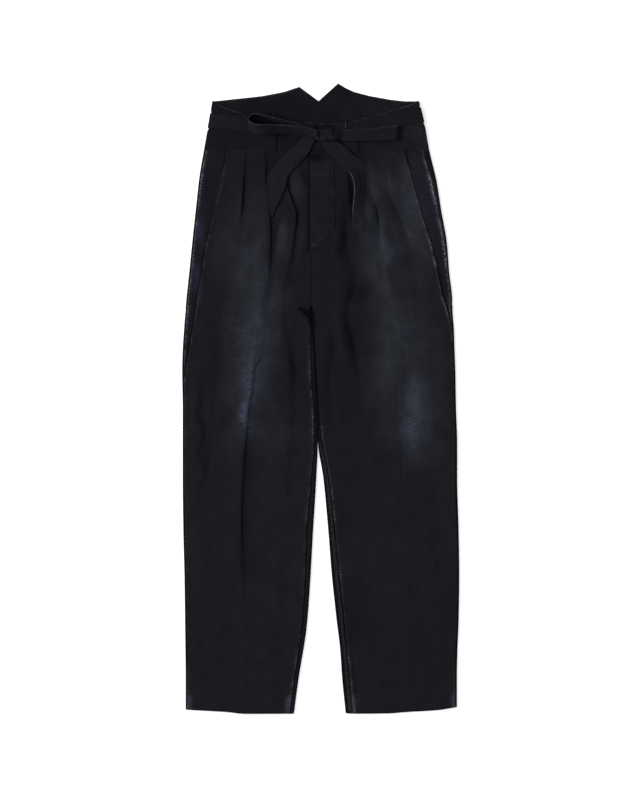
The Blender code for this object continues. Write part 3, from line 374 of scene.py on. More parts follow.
# The bow's ends: x and height of the left edge, x and height of the right edge, and how far each
# edge is lifted
TAIL_R = (
    (-20, 990, 1, 984, 0.5, 0.5),
    (-31, 980, -9, 974.5, 0.5, 0.5),
    (-44, 967, -18, 956, 0.2, 0.6),
    (-57, 955, -28.5, 942.5, 0, 0.8),
    (-71, 941, -41.5, 929, -0.8, 0.6),
    (-82, 927.5, -51.5, 919, -1, 0.4),
    (-90, 914, -56.5, 909, -1, 0.3),
    (-91.5, 900.5, -58.5, 897, -1, 0.3),
    (-91, 885, -63.5, 883.5, -1, 0.3),
    (-89, 870, -70.5, 868, -0.8, 0.2),
    (-86.5, 854.5, -77.5, 854.5, -0.8, 0),
    (-84, 843.5, -81.5, 843, -0.8, -0.6),
)
TAIL_L = (
    (2, 980, 18, 985, 1.5, 1.5),
    (2, 967.5, 27.5, 973, 1.5, 1.5),
    (11, 956, 40, 965, 0.8, 0.8),
    (21, 945, 54, 952, 0.6, 0.4),
    (32, 934.5, 64, 945, 1.2, 0),
    (43, 925, 73, 937.5, 3.5, -0.6),
    (51.5, 916, 75.5, 926.5, 6.5, -0.8),
    (57, 899, 75.5, 904, 9, -0.8),
    (57, 880, 75, 882, 9, -0.8),
    (55, 861.5, 75, 861.5, 7, -0.8),
    (54, 842, 75.5, 839, 3.6, -0.8),
    (54, 826, 76, 817, -0.6, -0.9),
)

# The last mark is painted shade: darkening painted where the cloth would lie in shade
MARKS = ("wash", "blue", "wear", "deep")  # what each point of a cloth stores for its material

TAIL_BENT = 945.0  # below this height the bow's left end hangs straight
TAIL_RAISED = 912.0  # and from here down to the next height its left edge stands up
TAIL_FLAT = 838.0

# How rubbed each side is: the turned inseam and the belt loop; and how bright the painted highlight is along
# the bow's end
STRIPE_WEAR = {"r": 0.04, "l": 0.12}
BELT_LOOP_WEAR = {"r": 0.2, "l": 1.0}
TAIL_EDGE_HIGHLIGHT = {"r": 0.05, "l": 0.70}
# The hems' corners, which are worn: x and half the width
HEM_CORNERS = ((55.0, 6.0), (-54.0, 5.5), (-223.0, 4.0), (227.0, 4.0))

# How fine the pieces are
ROW_STEP = 2.0  # between the rows of a panel
FILL_STEP = 3.2  # between the points of a panel's section, away from its folds
STRIP_STEP = 2.2  # between the points across a strip
EDGE_OFFSETS = (0.0, 0.35, 0.9)  # the first points in from an edge, which round it off
EDGE_SHARES = (0.30, 0.82)  # of the cloth's thickness, at the first two of them
SEAM = -0.1  # between two panels at a seam: they are sewn, so they meet
GROUND_CELL = 1.0  # grid of the heights that the belt and bow are laid on
GROUND_LOW = (-216.0, 800.0)
GROUND_HIGH = (216.0, 1075.0)
ABOVE = 200.0  # height that is clear of every piece
DOWN = Vector((0.0, 0.0, -1.0))


def smooth(value):
    """0 to 1 with soft ends."""
    value = np.clip(value, 0.0, 1.0)
    return value * value * (3.0 - 2.0 * value)


def bell(value):
    """1 at 0, falling softly to 0 on both sides."""
    return np.exp(-np.square(value))


def lerp(a, b, t):
    return a + (b - a) * t


def named_rows(table, columns):
    """The rows of a table, with its columns as names."""
    return [SimpleNamespace(**dict(zip(columns, row))) for row in table]


def grid_of(*channels):
    """A grid of points from their coordinates: each a number, a row, a column or a grid."""
    return np.stack(np.broadcast_arrays(*channels), axis=2)


def curves(table, columns):
    """A smooth function through each column of a table, over its first column."""
    return {name: curve(table, columns, name) for name in columns[1:]}


def eased(rise, start, end, t):
    """How far a smooth curve has risen at t, 0 to 1, from its whole rise and its end slopes."""
    bend = (3.0 * rise - 2.0 * start - end) + t * (start + end - 2.0 * rise)
    return t * (start + t * bend)


def curve(table, columns, name):
    """A smooth function through one named column of a table, over its first column."""
    at = columns.index(name)
    places = np.array([row[0] for row in table], float)
    values = np.array([row[at] for row in table], float)
    rates = np.diff(values) / np.diff(places)
    product = rates[:-1] * rates[1:]
    total = np.where(product > 0, rates[:-1] + rates[1:], 1.0)
    inner = np.where(product > 0, 2.0 * product / total, 0.0)
    slopes = np.concatenate([rates[:1], inner, rates[-1:]])

    def value_at(place):
        place = np.clip(place, places[0], places[-1])
        i = np.clip(np.searchsorted(places, place) - 1, 0, len(places) - 2)
        span = places[i + 1] - places[i]
        t = (place - places[i]) / span
        rise = values[i + 1] - values[i]
        start = slopes[i] * span
        end = slopes[i + 1] * span
        return values[i] + eased(rise, start, end, t)

    return value_at


def broken_line(table):
    """A function through the points of a table, straight between them."""
    places, values = zip(*table)
    return lambda place: np.interp(place, places, values)


def soft_noise(x, y, cell_x, cell_y, seed):
    """Smooth noise from -1 to 1, with hills about a cell wide."""
    size = 64
    hills = np.random.default_rng(seed).uniform(-1.0, 1.0, (size, size))
    u, v = np.broadcast_arrays(np.asarray(x, float) / cell_x, np.asarray(y, float) / cell_y)
    i = np.floor(u).astype(int)
    j = np.floor(v).astype(int)
    s = smooth(u - i)
    t = smooth(v - j)
    low = lerp(hills[i % size, j % size], hills[(i + 1) % size, j % size], s)
    high = lerp(hills[i % size, (j + 1) % size], hills[(i + 1) % size, (j + 1) % size], s)
    return lerp(low, high, t)


def refined(path, steps):
    """The same paths with more points: smooth curves through their columns, with so many steps
    from each to the next.  The first two channels are the place."""
    gaps = np.maximum(np.linalg.norm(np.diff(path[..., :2], axis=1), axis=2), 1e-4)[..., None]
    slopes = np.empty_like(path)
    slopes[:, 1:-1] = (path[:, 2:] - path[:, :-2]) / (gaps[:, 1:] + gaps[:, :-1])
    slopes[:, 0] = (path[:, 1] - path[:, 0]) / gaps[:, 0]
    slopes[:, -1] = (path[:, -1] - path[:, -2]) / gaps[:, -1]
    columns = []
    for k, count in enumerate(steps):
        rise = path[:, k + 1] - path[:, k]
        start = slopes[:, k] * gaps[:, k]
        end = slopes[:, k + 1] * gaps[:, k]
        for step in range(count):
            columns.append(path[:, k] + eased(rise, start, end, step / count))
    columns.append(path[:, -1])
    return np.stack(columns, axis=1)


middle_rise = curve(RISE, RISE_COLUMNS, "rise")
centre_back = curve(CENTRE_BACK, CENTRE_BACK_COLUMNS, "x")
front_edge = broken_line(FRONT_EDGE)
back_edge = broken_line(BACK_EDGE)
belt_line = curve(BELT, BELT_COLUMNS, "height")
belt_back_line = broken_line(BELT_BACK_ENDS)


def edge_rise(height):
    """Thickness at the rolled edge, which grows where the belt passes behind the waistband."""
    return EDGE_RISE + BELT_RISE * smooth((height - WAIST_SEAM) / 30.0)


def belt_lift(x, height):
    """How high the belt lifts the back waistband here."""
    off = np.abs(height - belt_back_line(x)) - (0.5 * BELT_WIDTH + 1.0)
    return BELT_RISE * (1.0 - smooth(off / 5.0))


def slope_off(distance, reach):
    """1 at the fold, falling softly to 0 at its reach."""
    return 1.0 - smooth(np.abs(distance) / reach)


# Soft creases, drawn as lines of (x, height).  "width" is half the trough, "depth" how far it
# goes down and "ridge" how far the cloth stands up on its left side, going along the line.
CREASE_COLUMNS = ("line", "width", "depth", "ridge")
CREASES_R = (
    (((-101, 662), (-106, 622), (-110, 589), (-114, 568)), 3.6, 0.9, 0.5),
    (((-98, 549), (-108, 545), (-119, 535), (-124, 500), (-127, 464)), 3.4, 1, 0.6),
    (((-127, 474), (-131, 412), (-133.5, 326), (-134, 258), (-133, 226)), 3.2, 1.3, 0.8),
    (((-168, 478), (-181, 450), (-190, 418), (-198, 372), (-201, 330)), 6, 0.8, 0.4),
    (((-94, 472), (-60, 480), (-16, 498)), 3.5, 0.35, 0.15),
    (((-52, 600), (-47, 570), (-49, 530)), 7, 0.6, 0.2),
    (((-40, 690), (-28, 687), (-17, 677), (-12, 664)), 4.5, 2, -0.9),
    (((-172, 560), (-150, 552), (-128, 556)), 4, 0.22, 0.15),
    (((-166, 505), (-146, 500), (-130, 508)), 4, 0.2, 0.12),
    (((-150, 640), (-128, 632), (-108, 636)), 4, 0.2, 0.12),
    (((-44, 690), (-62, 668), (-84, 655)), 5, 0.35, 0.15),
    (((-20, 720), (-38, 735), (-52, 760)), 5, 0.3, 0.15),
    (((-206, 560), (-196, 520), (-200, 470)), 6, 0.3, 0.15),
    (((-96, 180), (-112, 150), (-104, 110)), 8, 0.25, 0.1),
    (((-180, 240), (-170, 200), (-176, 150)), 9, 0.3, 0.1),
)
CREASES_L = (
    (((39, 842), (45, 797), (57, 768), (73, 726)), 6, 0.7, 0.2),
    (((54, 708), (45, 676), (57, 634), (61, 600), (70, 575)), 6, 0.9, 0.3),
    (((87, 879), (93, 862), (98, 845), (100, 832)), 2.6, 1.2, 0.5),
    (((27, 624), (18, 589), (13, 547), (11, 499)), 6, 0.8, 0.2),
    (((131, 690), (132, 620), (132, 560), (132, 499)), 3, 0.5, 0.4),
    (((139, 533), (140, 480), (140, 430), (140, 380)), 3, 0.35, 0.25),
    (((86, 741), (108, 742), (131, 740)), 3.5, 0.25, 0.12),
    (((130, 636), (146, 638), (162, 636)), 3.5, 0.25, 0.12),
    (((77, 611), (118, 613), (161, 610)), 3.5, 0.25, 0.12),
    (((150, 560), (166, 552), (190, 556)), 4, 0.2, 0.12),
    (((148, 500), (168, 494), (192, 500)), 4, 0.2, 0.12),
    (((8, 730), (22, 752), (30, 790)), 6, 0.35, 0.15),
    (((200, 500), (190, 450), (194, 400)), 7, 0.3, 0.1),
    (((100, 240), (112, 190), (104, 150)), 9, 0.28, 0.1),
    (((180, 300), (172, 240), (178, 190)), 9, 0.25, 0.1),
)

# Where each seam has been rubbed pale, and how much
SEAM_WEAR_COLUMNS = ("height", "outseam", "pocket", "inseam")
SEAM_WEAR_R = (
    (0, 0.35, 0, 0.36), (30, 0.3, 0, 0.4), (45, 0.12, 0, 0.34), (120, 0.08, 0, 0.34),
    (200, 0.08, 0, 0.26), (350, 0.08, 0, 0.3), (520, 0.1, 0, 0.42), (600, 0.25, 0.08, 0.34),
    (640, 0.34, 0.12, 0.08), (740, 0.4, 0.12, 0), (800, 0.3, 0.14, 0), (850, 0.4, 0.08, 0),
    (900, 0.65, 0.22, 0), (925, 0.9, 0.12, 0), (945, 1.05, 0.04, 0), (958, 1, 0, 0),
)
SEAM_WEAR_L = (
    (0, 0.35, 0, 0.38), (30, 0.35, 0, 0.4), (45, 0.12, 0, 0.32), (120, 0.05, 0, 0.3),
    (200, 0.03, 0, 0.34), (350, 0.03, 0, 0.34), (470, 0.04, 0, 0.28), (500, 0.05, 0, 0.03),
    (520, 0.05, 0, 0), (660, 0.22, 0.5, 0), (740, 0.5, 0.8, 0), (800, 0.85, 0.75, 0),
    (860, 0.95, 0.5, 0), (900, 1, 0.4, 0), (958, 1.1, 0, 0),
)

# Soft patches of the wash.  "lean" is how far the patch shifts sideways for each millimetre up.
PATCH_COLUMNS = ("x", "height", "half_width", "half_height", "lean", "strength")
WASHES = (
    (-118, 640, 60, 190, 0.03, 0.5), (-136, 780, 62, 115, -0.02, 0.38), (-118, 860, 40, 60, 0, 0.18),
    (-62, 805, 18, 52, 0, 0.32), (-76, 700, 40, 110, 0, 0.3), (-82, 612, 26, 60, 0, 0.26),
    (-84, 480, 50, 80, 0, 0.16), (-146, 560, 24, 60, 0, 0.16), (-148, 465, 26, 50, 0, 0.16),
    (102, 770, 46, 150, -0.06, 0.6), (70, 800, 16, 60, -0.1, 0.3), (158, 810, 46, 120, -0.2, 0.62),
    (150, 640, 84, 190, 0, 0.6), (178, 540, 56, 190, 0, 0.34), (110, 560, 46, 110, 0, 0.28),
    (196, 860, 26, 120, -0.2, 0.4), (104, 900, 40, 60, -0.2, 0.22), (150, 915, 40, 50, -0.2, 0.2),
    (160, 450, 60, 60, 0, 0.16), (84, 895, 18, 70, -0.05, 0.55), (112, 912, 24, 60, -0.1, 0.45),
    (216, 400, 30, 160, 0, 0.1), (148, 885, 30, 60, -0.2, 0.34), (152, 932, 32, 34, -0.1, 0.34),
    (122, 478, 44, 60, 0, 0.18), (-10, 635, 11, 60, 0, 0.5), (-42, 905, 22, 60, 0, 0.4),
    (-36, 800, 12, 70, 0, 0.12),
)
BLUES = (
    (-117, 570, 40, 170, 0.065, 0.34), (-121, 535, 20, 96, 0.1, 0.36), (-105, 680, 18, 80, 0.05, 0.2),
    (-124, 500, 12, 64, 0.06, 0.3), (161, 515, 40, 90, 0, 0.44), (158, 500, 19, 76, 0.05, 0.36),
    (158, 440, 18, 44, 0, 0.12), (140, 640, 34, 100, 0, 0.12), (110, 800, 10, 75, -0.05, 0.4),
    (-65, 812, 12, 36, 0, 0.24), (-201, 828, 11, 42, -0.15, 0.5), (-104, 770, 22, 90, 0, 0.2),
    (160, 870, 22, 70, -0.2, 0.2), (196, 880, 26, 90, -0.2, 0.2), (-213, 745, 12, 62, -0.15, 0.5),
)
# Soft patches of painted shade, where folds, the bow and the fly would shade the cloth
PAINTED_SHADES = (
    (36, 800, 13, 60, -0.1, 0.4), (58, 716, 24, 34, 0, 0.5), (52, 640, 20, 70, -0.1, 0.5),
    (48.5, 886, 6, 40, 0, 0.95), (39, 850, 8, 100, 0, 0.5), (20, 600, 14, 80, 0.1, 0.25),
    (-50, 585, 12, 50, 0, 0.45), (-52, 700, 12, 44, 0, 0.2), (-4, 952, 40, 18, 0, 0.8),
    (-28, 905, 12, 50, 0, 0.55), (-202, 490, 13, 140, 0, 0.62), (-180, 600, 20, 100, 0, 0.2),
    (-118, 380, 20, 150, 0, 0.1), (34, 500, 30, 120, 0, 0.1), (10, 770, 20, 60, 0, 0.1),
    (-75, 935, 40, 34, 0, 0.3), (60, 950, 40, 24, 0, 0.35), (-198, 905, 24, 50, 0, 0.25),
    (-100, 600, 7, 60, 0.06, 0.2), (60, 170, 44, 120, 0, 0.16), (30, 330, 24, 90, 0, 0.14),
    (96, 690, 10, 60, 0, 0.14), (-168, 700, 14, 80, 0, 0.12),
)

# Short worn lines, across the fly and the creased thighs, and lines of painted shade: in the hollow at
# the crotch and in the slits beside the fly and under the left end's raised edge
LINE_COLUMNS = ("from_x", "from_height", "to_x", "to_height", "half_width", "strength")
WORN_LINES = (
    (-16, 917, 12, 915.5, 1.6, 0.34), (22, 893, 22.3, 879, 1.5, 0.5), (12, 825, 18, 833, 1.8, 0.22),
    (-6, 803, 4, 811, 1.8, 0.2), (-15, 799, -9, 795, 2, 0.4), (-16, 870, -15, 845, 1.6, 0.14),
    (130, 702, 141, 692, 2, 0.3), (127, 689, 151, 684, 1.8, 0.3), (136, 677, 154, 672, 1.8, 0.26),
    (129, 668, 133, 655, 2.2, 0.26), (139, 662, 157, 659, 1.8, 0.22), (-166, 672, -142, 668, 2, 0.2),
    (-152, 655, -120, 650, 2, 0.22), (-140, 633, -104, 629, 2, 0.24), (-150, 640, -128, 642, 1.8, 0.18),
    (-146, 604, -118, 600, 2, 0.22), (-130, 586, -100, 590, 2, 0.2), (-142, 560, -112, 556, 2, 0.22),
    (-136, 528, -108, 531, 2, 0.22), (-140, 500, -116, 497, 2, 0.2), (144, 612, 176, 616, 2, 0.2),
    (140, 560, 172, 556, 2, 0.22), (146, 528, 176, 532, 2, 0.22), (142, 498, 168, 495, 2, 0.2),
)
PAINTED_SHADE_LINES = (
    (-36, 689, -30, 687, 2.6, 1.1), (-26, 684, -18, 679, 4.6, 1.7), (-17, 679, -13.5, 664, 5, 1.8),
    (-19.8, 950, -20.6, 880, 1.2, 0.45), (-20.6, 880, -20.6, 788, 1.6, 0.85), (-20, 788, -14, 780, 1.2, 0.4),
    (-14, 776, -16, 700, 1, 0.35), (20, 862, 27, 858, 1.4, 0.25), (19, 838, 30, 842, 1.4, 0.25),
    (-4, 826, 5, 822, 1.8, 0.2), (24.6, 905, 24.6, 845, 1.1, 0.3), (-12, 902, -4, 898, 1.4, 0.15),
    (46, 919, 50, 905, 2, 0.9), (50, 905, 51, 868, 3, 1), (51, 868, 51, 842, 2, 0.6),
    (97, 852, 94, 866, 1.3, 0.5), (38, 880, 40, 800, 2.4, 0.35), (-24, 790, -20, 860, 4, 0.25),
    (-72, 800, -80, 822, 1.2, 0.3), (-102, 603, -110, 590, 2, 0.5), (-110, 590, -116, 560, 1.6, 0.5),
)


def beside_line(x, height, start, end):
    """How far along a straight line a place is, 0 to 1, how far off it, and on which side."""
    dx = end[0] - start[0]
    dh = end[1] - start[1]
    from_x = x - start[0]
    from_height = height - start[1]
    along = np.clip((from_x * dx + from_height * dh) / (dx * dx + dh * dh), 0.0, 1.0)
    off = np.hypot(from_x - along * dx, from_height - along * dh)
    return along, off, np.sign(dx * from_height - dh * from_x)


def line_sum(table, x, height):
    """How strong a table of short lines is here."""
    total = 0.0
    for line in named_rows(table, LINE_COLUMNS):
        ends = (line.from_x, line.from_height), (line.to_x, line.to_height)
        total = total + line.strength * bell(beside_line(x, height, *ends)[1] / line.half_width)
    return total


def patch_sum(table, x, height):
    """The soft patches of a table, added up, with uneven borders."""
    warp = 7.0 * soft_noise(x, height, 26.0, 34.0, 71)
    total = 0.0
    for patch in named_rows(table, PATCH_COLUMNS):
        up = height - patch.height
        side = (x + warp - patch.x - patch.lean * up) / patch.half_width
        total = total + patch.strength * (1.0 - smooth(np.hypot(side, (up + warp) / patch.half_height)))
    return total


def crease_sum(table, x, height):
    """How far the creases of a table move the cloth up or down."""
    total = np.zeros(np.broadcast(x, height).shape)
    for crease in named_rows(table, CREASE_COLUMNS):
        nearest = np.full(total.shape, 1e9)
        side = np.zeros(total.shape)
        along = np.zeros(total.shape)
        for i, ends in enumerate(zip(crease.line, crease.line[1:])):
            share, off, which = beside_line(x, height, *ends)
            closer = off < nearest
            side = np.where(closer, which, side)
            along = np.where(closer, (i + share) / (len(crease.line) - 1.0), along)
            nearest = np.minimum(nearest, off)
        ends = smooth(along / 0.22) * smooth((1.0 - along) / 0.22)
        signed = nearest * side / crease.width
        ridge = crease.ridge * bell((signed - 1.5) / 1.3)
        total += ends * (ridge - crease.depth * bell((signed + 0.2) / 0.9))
    return total


OPEN_SPREAD = 1.7  # how much wider a pleat's step is where it has opened out
PUCKER_STEP = 6.8  # along a seam, from one pucker to the next


def puckers(distance, along, reach, seed):
    """Ropy puckers beside a seam, -1 to 1, which slant across it."""
    beat = along / PUCKER_STEP + 0.5 * soft_noise(along, 0.0, 11.0, 1.0, seed) + distance / 17.0
    patchy = 0.62 + 0.38 * soft_noise(along, 0.0, 37.0, 1.0, seed + 1)
    return bell(distance / reach) * patchy * np.sin(2.0 * math.pi * beat)


def held_flat(height):
    """The share of a pleat's step that is left where the waist seam presses it flat."""
    return 1.0 - 0.75 * smooth((height - 890.0) / 55.0)


class Leg:
    """One leg: its outline, its folds, the height of its cloth, how the cloth has worn and the shade painted
    on it.
    "inward" is +1 where +X runs from the outer edge towards the middle of the body."""

    def __init__(self, side, table, folds, hem, inward, creases, seam_wear):
        self.side = side
        self.inward = inward
        self.creases = creases
        for name, rate in curves(table, LEG_COLUMNS).items():
            setattr(self, name, rate)
        self.hem = curve(hem, HEM_COLUMNS, "rise")
        self.folds = {fold: curves(rows, FOLD_COLUMNS) for fold, rows in folds.items()}
        self.seam_wear = curves(seam_wear, SEAM_WEAR_COLUMNS)
        painted_shades = FOLD_PAINTED_SHADE[side]
        self.fold_painted_shade = {fold: curves(rows, SHADE_COLUMNS) for fold, rows in painted_shades.items()}

    def front_outer(self, height):
        """The front panel's outer seam: the pocket line, then the outseam."""
        return np.where(height > POCKET_END[self.side], self.pocket(height), self.outseam(height))

    def fold_height(self, fold, x, height):
        """How far one fold lifts or lowers the cloth at x."""
        shape = self.folds[fold]
        below_waist = 1.0 - smooth((height - WAIST_SEAM) / WAIST_FADE)
        rise = shape["rise"](height) * below_waist
        drop = shape["drop"](height) * below_waist * held_flat(height)
        distance = self.inward * (x - shape["x"](height))
        high = rise * slope_off(distance, HIGH_REACH)
        low = (rise - drop) * slope_off(distance, LOW_REACH)
        return np.where(distance < 0, high, low)

    def cloth_top(self, x, height, without=None):
        """Height of the cloth's upper face, leaving one fold out where that fold is drawn itself."""
        from_outer = self.inward * (x - self.outer(height))
        from_inner = self.inward * (self.inner(height) - x)
        from_inner = from_inner + FORK_FADE * smooth((height - CROTCH) / FORK_FADE)
        low = smooth(np.minimum(from_outer, from_inner) / EDGE_SOFT)
        top = lerp(edge_rise(height), middle_rise(height), low)
        for fold in self.folds:
            if fold != without:
                top = top + low * self.fold_height(fold, x, height)
        for dent in named_rows(DENTS, DENT_COLUMNS):
            off = np.hypot((x - dent.x) / dent.half_width, (height - dent.height) / dent.half_height)
            top = top - dent.depth * (1.0 - smooth(off))
        return top

    def seams(self, x, height):
        """The seams near a place.  For each: how far off it the place is and how far along it, how
        far its puckers reach and how strong they are, its wear, the painted shade beside it, and a seed."""
        high = smooth((height - POCKET_END[self.side]) / 12.0)
        low = 1.0 - smooth((height - CROTCH + 6.0) / 10.0)
        joined = 0.2 + 0.8 * (1.0 - smooth((height - 470.0) / 40.0)) if self.side == "l" else 1.0
        wear = {name: rate(height) for name, rate in self.seam_wear.items()}
        outseam = self.inward * (x - self.outseam(height))
        pocket = self.inward * (x - self.pocket(height))
        inseam = self.inward * (self.inseam(height) - x)
        return (
            (outseam, height, 5.0, 0.50, wear["outseam"], 0.6, 11),
            (pocket, height, 4.6, 0.38 * high, wear["pocket"] * high, 0.9 * high, 23),
            (inseam, height, 4.4, 0.36 * low * joined, wear["inseam"] * low, low, 37),
            (WAIST_SEAM - height, x, 4.5, 0.10, 0.0, 0.0, 41),
            (height - HEM_SEAM, x, 4.0, 0.26, 0.0, 0.0, 53),
        )

    def relief(self, x, height):
        """The fine shape of the cloth: puckers at its seams, small creases and soft waves."""
        total = crease_sum(self.creases, x, height) * (1.0 - smooth((height - 925.0) / 25.0))
        for distance, along, reach, strength, _, _, seed in self.seams(x, height):
            total = total + strength * puckers(distance, along, reach, seed)
        total = total + 0.30 * soft_noise(x, height, 34.0, 62.0, 5)
        total = total + 0.12 * soft_noise(x, height, 12.0, 26.0, 6)
        return total - 0.25 * bell((height - HEM_SEAM) / 1.6)

    def marks(self, x, height):
        """How the cloth has washed and worn here, and the shade painted on it, for its material."""
        marks = {
            "wash": patch_sum(WASHES, x, height) + line_sum(WORN_LINES, x, height),
            "blue": patch_sum(BLUES, x, height),
            "wear": np.zeros_like(x),
            # painted shade from the shade patches and the lines of painted shade
            "deep": patch_sum(PAINTED_SHADES, x, height) + line_sum(PAINTED_SHADE_LINES, x, height),
        }
        self.mark_seams(marks, x, height)
        self.mark_folds(marks, x, height)
        self.mark_edges(marks, x, height)
        fading = 1.0 - lerp(0.80, 0.15, smooth((x - 70.0) / 60.0)) * smooth((height - 880.0) / 70.0)
        at_hem = 1.0 - smooth((height - 18.0) / 18.0)
        corner = sum(bell((x - place) / spread) * at_hem for place, spread in HEM_CORNERS)
        low_leg = 1.0 - smooth((height - 520.0) / 60.0)
        marks["wash"] = marks["wash"] * self.wash_borders(x, height) * fading
        marks["wash"] += 0.035 * (1.0 + soft_noise(x, height, 60.0, 90.0, 97)) * low_leg
        marks["blue"] = marks["blue"] * fading + 0.50 * corner
        marks["wear"] += 0.07 * corner
        return marks

    def mark_seams(self, marks, x, height):
        """Adds the pale rubbed line along each seam and the painted shade beside it."""
        for distance, along, _, _, worn, dark, seed in self.seams(x, height):
            patchy = 0.66 + 0.55 * soft_noise(along, 0.0 * x, 13.0, 1.0, seed + 3)
            wide = 1.0 + 0.35 * smooth((worn - 0.5) / 0.5)
            lip = bell((distance - 0.6) / wide)
            beside = bell((distance - 2.6) / 1.8)
            marks["wear"] += worn * patchy * (1.1 * lip + 0.16 * beside)
            # Painted shade beside the seam, on both sides of its lip
            marks["deep"] += 0.85 * dark * bell((distance + 1.0) / 1.1)
            marks["deep"] += 0.25 * dark * bell((distance - 2.0) / 0.7)

    def mark_folds(self, marks, x, height):
        """Adds painted shade, as a dark line under each fold's lip and a dark valley beside it, and a paler
        high side, where the wash is strengthened as a painted highlight.
        """
        for name, shade in self.fold_painted_shade.items():
            distance = self.inward * (x - self.folds[name]["x"](height))
            valley = shade["valley"](height)
            marks["deep"] += 0.75 * shade["line"](height) * bell((distance - 1.8) / 1.7)
            marks["deep"] += 0.60 * valley * bell((distance - 6.0) / 10.0) * smooth(distance / 3.0)
            # Painted highlight on the fold's high side, strengthening the wash that is there
            paler = 0.30 * valley * bell((distance + 5.0) / 7.0)
            marks["wash"] += paler * np.minimum(marks["wash"], 0.6)

    def mark_edges(self, marks, x, height):
        """Adds painted shade along the leg's rolled edges and its hem, and the rubbed stripe by the inseam.
        """
        from_outer = self.inward * (x - self.outer(height))
        from_inner = self.inward * (self.inner(height) - x)
        joined = 40.0 * smooth((height - CROTCH) / 8.0) * (from_inner < 30.0)
        from_edge = np.minimum(from_outer, from_inner) + joined
        # Painted shade along the rolled edges and at the hem's edge
        marks["deep"] += 0.90 * bell(from_edge / lerp(2.6, 1.5, smooth((height - 450.0) / 60.0)))
        marks["deep"] += 0.55 * bell(height / 2.2)
        turned = self.inward * (x - self.inseam(height)) * (height < CROTCH)
        stripe = bell((turned - 5.0) / 2.0) * smooth((from_edge - 1.5) / 1.0)
        marks["wear"] += STRIPE_WEAR[self.side] * stripe * (1.0 - smooth((height - 440.0) / 30.0))

    def wash_borders(self, x, height):
        """Where folds bound the wash: the share of it that is left on each side."""
        if self.side == "r":
            return 1.0
        crease = x - self.folds["crease_pleat"]["x"](height)
        thigh = x - self.folds["thigh_fold"]["x"](height)
        pressed = smooth((height - 540.0) / 50.0) * (1.0 - smooth((height - 760.0) / 50.0))
        folded = smooth((height - 560.0) / 50.0) * (1.0 - smooth((height - 850.0) / 40.0))
        share = 1.0 + pressed * lerp(0.18, -0.42, smooth((crease + 1.5) / 3.0))
        return share * lerp(1.0, smooth((thigh + 4.0) / 9.0), folded)

    def pleat_path(self, fold, height, thick):
        """The section through one pleat, from its high side to its low side."""
        shape = {name: rate(height) for name, rate in self.folds[fold].items()}
        bend = 0.5 * LAYER
        back = np.maximum(shape["depth"], bend)
        lip = np.zeros_like(back)
        high_side = [lip - 6.0, lip - LAYER, lip, lip - bend]
        low_side = [bend - back, -back, bend - back, lip + 4.0, lip + 10.0]
        folded = np.concatenate(high_side + low_side, axis=1)
        along = lerp(OPEN_SPREAD * np.array(FLAT_STEPS), folded, shape["sharp"])
        x = shape["x"] + self.inward * along
        z = self.cloth_top(shape["x"], height, without=fold) + shape["rise"]
        z = z - shape["drop"] * held_flat(height) * np.array(DROP_SHARES) - 0.5 * thick
        for end in (0, -1):
            z[:, end] = self.cloth_top(x[:, end:][:, :1], height)[:, 0] - 0.5 * thick[:, 0]
        # Painted shade in the slit under a pleat's lip: the folded-under part is drawn dark, in the path's
        # third channel
        dark = lerp(0.35, 1.0, self.fold_painted_shade[fold]["line"](height))
        hidden = shape["sharp"] * dark * np.array((0.0, 0.0, 0.0, 0.7, 1.0, 1.0, 0.9, 0.3, 0.0))
        return grid_of(x, z, hidden)

    def top_path(self, x, height, thick, ridge=0.0):
        """Points of the section that lie on the cloth's upper face."""
        z = self.cloth_top(x, height) - 0.5 * thick + ridge
        return grid_of(x, z, 0.0)

    def front_path(self, height, thick):
        """The middle of the front panel's wall, from its outer seam to its inner seam."""
        inward = self.inward
        start = self.front_outer(height) + inward * 0.5 * SEAM
        end = self.inseam(height) - inward * 0.5 * SEAM
        seamed = 1.0 - smooth((height - CROTCH + 30.0) / 30.0)
        edge = (*EDGE_OFFSETS, 2.0, 3.2, 4.4, SEAM_WIDTH, 1.5 * SEAM_WIDTH)
        edge_ridge = SEAM_RIDGE * np.array((1, 1, 1, 1, 1, 0.9, 0.6, 0.0))
        outer = self.top_path(start + inward * np.array(edge), height, thick, 0.7 * edge_ridge)
        inner = self.top_path(end - inward * np.array(edge[::-1]), height, thick, seamed * edge_ridge[::-1])
        groups = [(outer, 1)]
        for fold in self.folds:
            if fold in PLEATS:
                groups.append((self.pleat_path(fold, height, thick), 3))
            else:
                x = self.folds[fold]["x"](height) + inward * np.array(CREASE_STEPS)
                groups.append((self.top_path(x, height, thick), 3))
        groups.append((inner, 1))
        path = [outer]
        steps = [1] * (outer.shape[1] - 1)
        for (before, _), (group, fine) in zip(groups, groups[1:]):
            start_x = before[:, -1:, 0]
            gap = group[:, :1, 0] - start_x
            fill = max(1, int(np.abs(gap).max() / FILL_STEP))
            x = start_x + gap * (np.arange(1, fill + 1) / (fill + 1.0))
            path += [self.top_path(x, height, thick), group]
            steps += [1] * (fill + 1) + [fine] * (group.shape[1] - 1)
        return refined(np.concatenate(path, axis=1), steps)

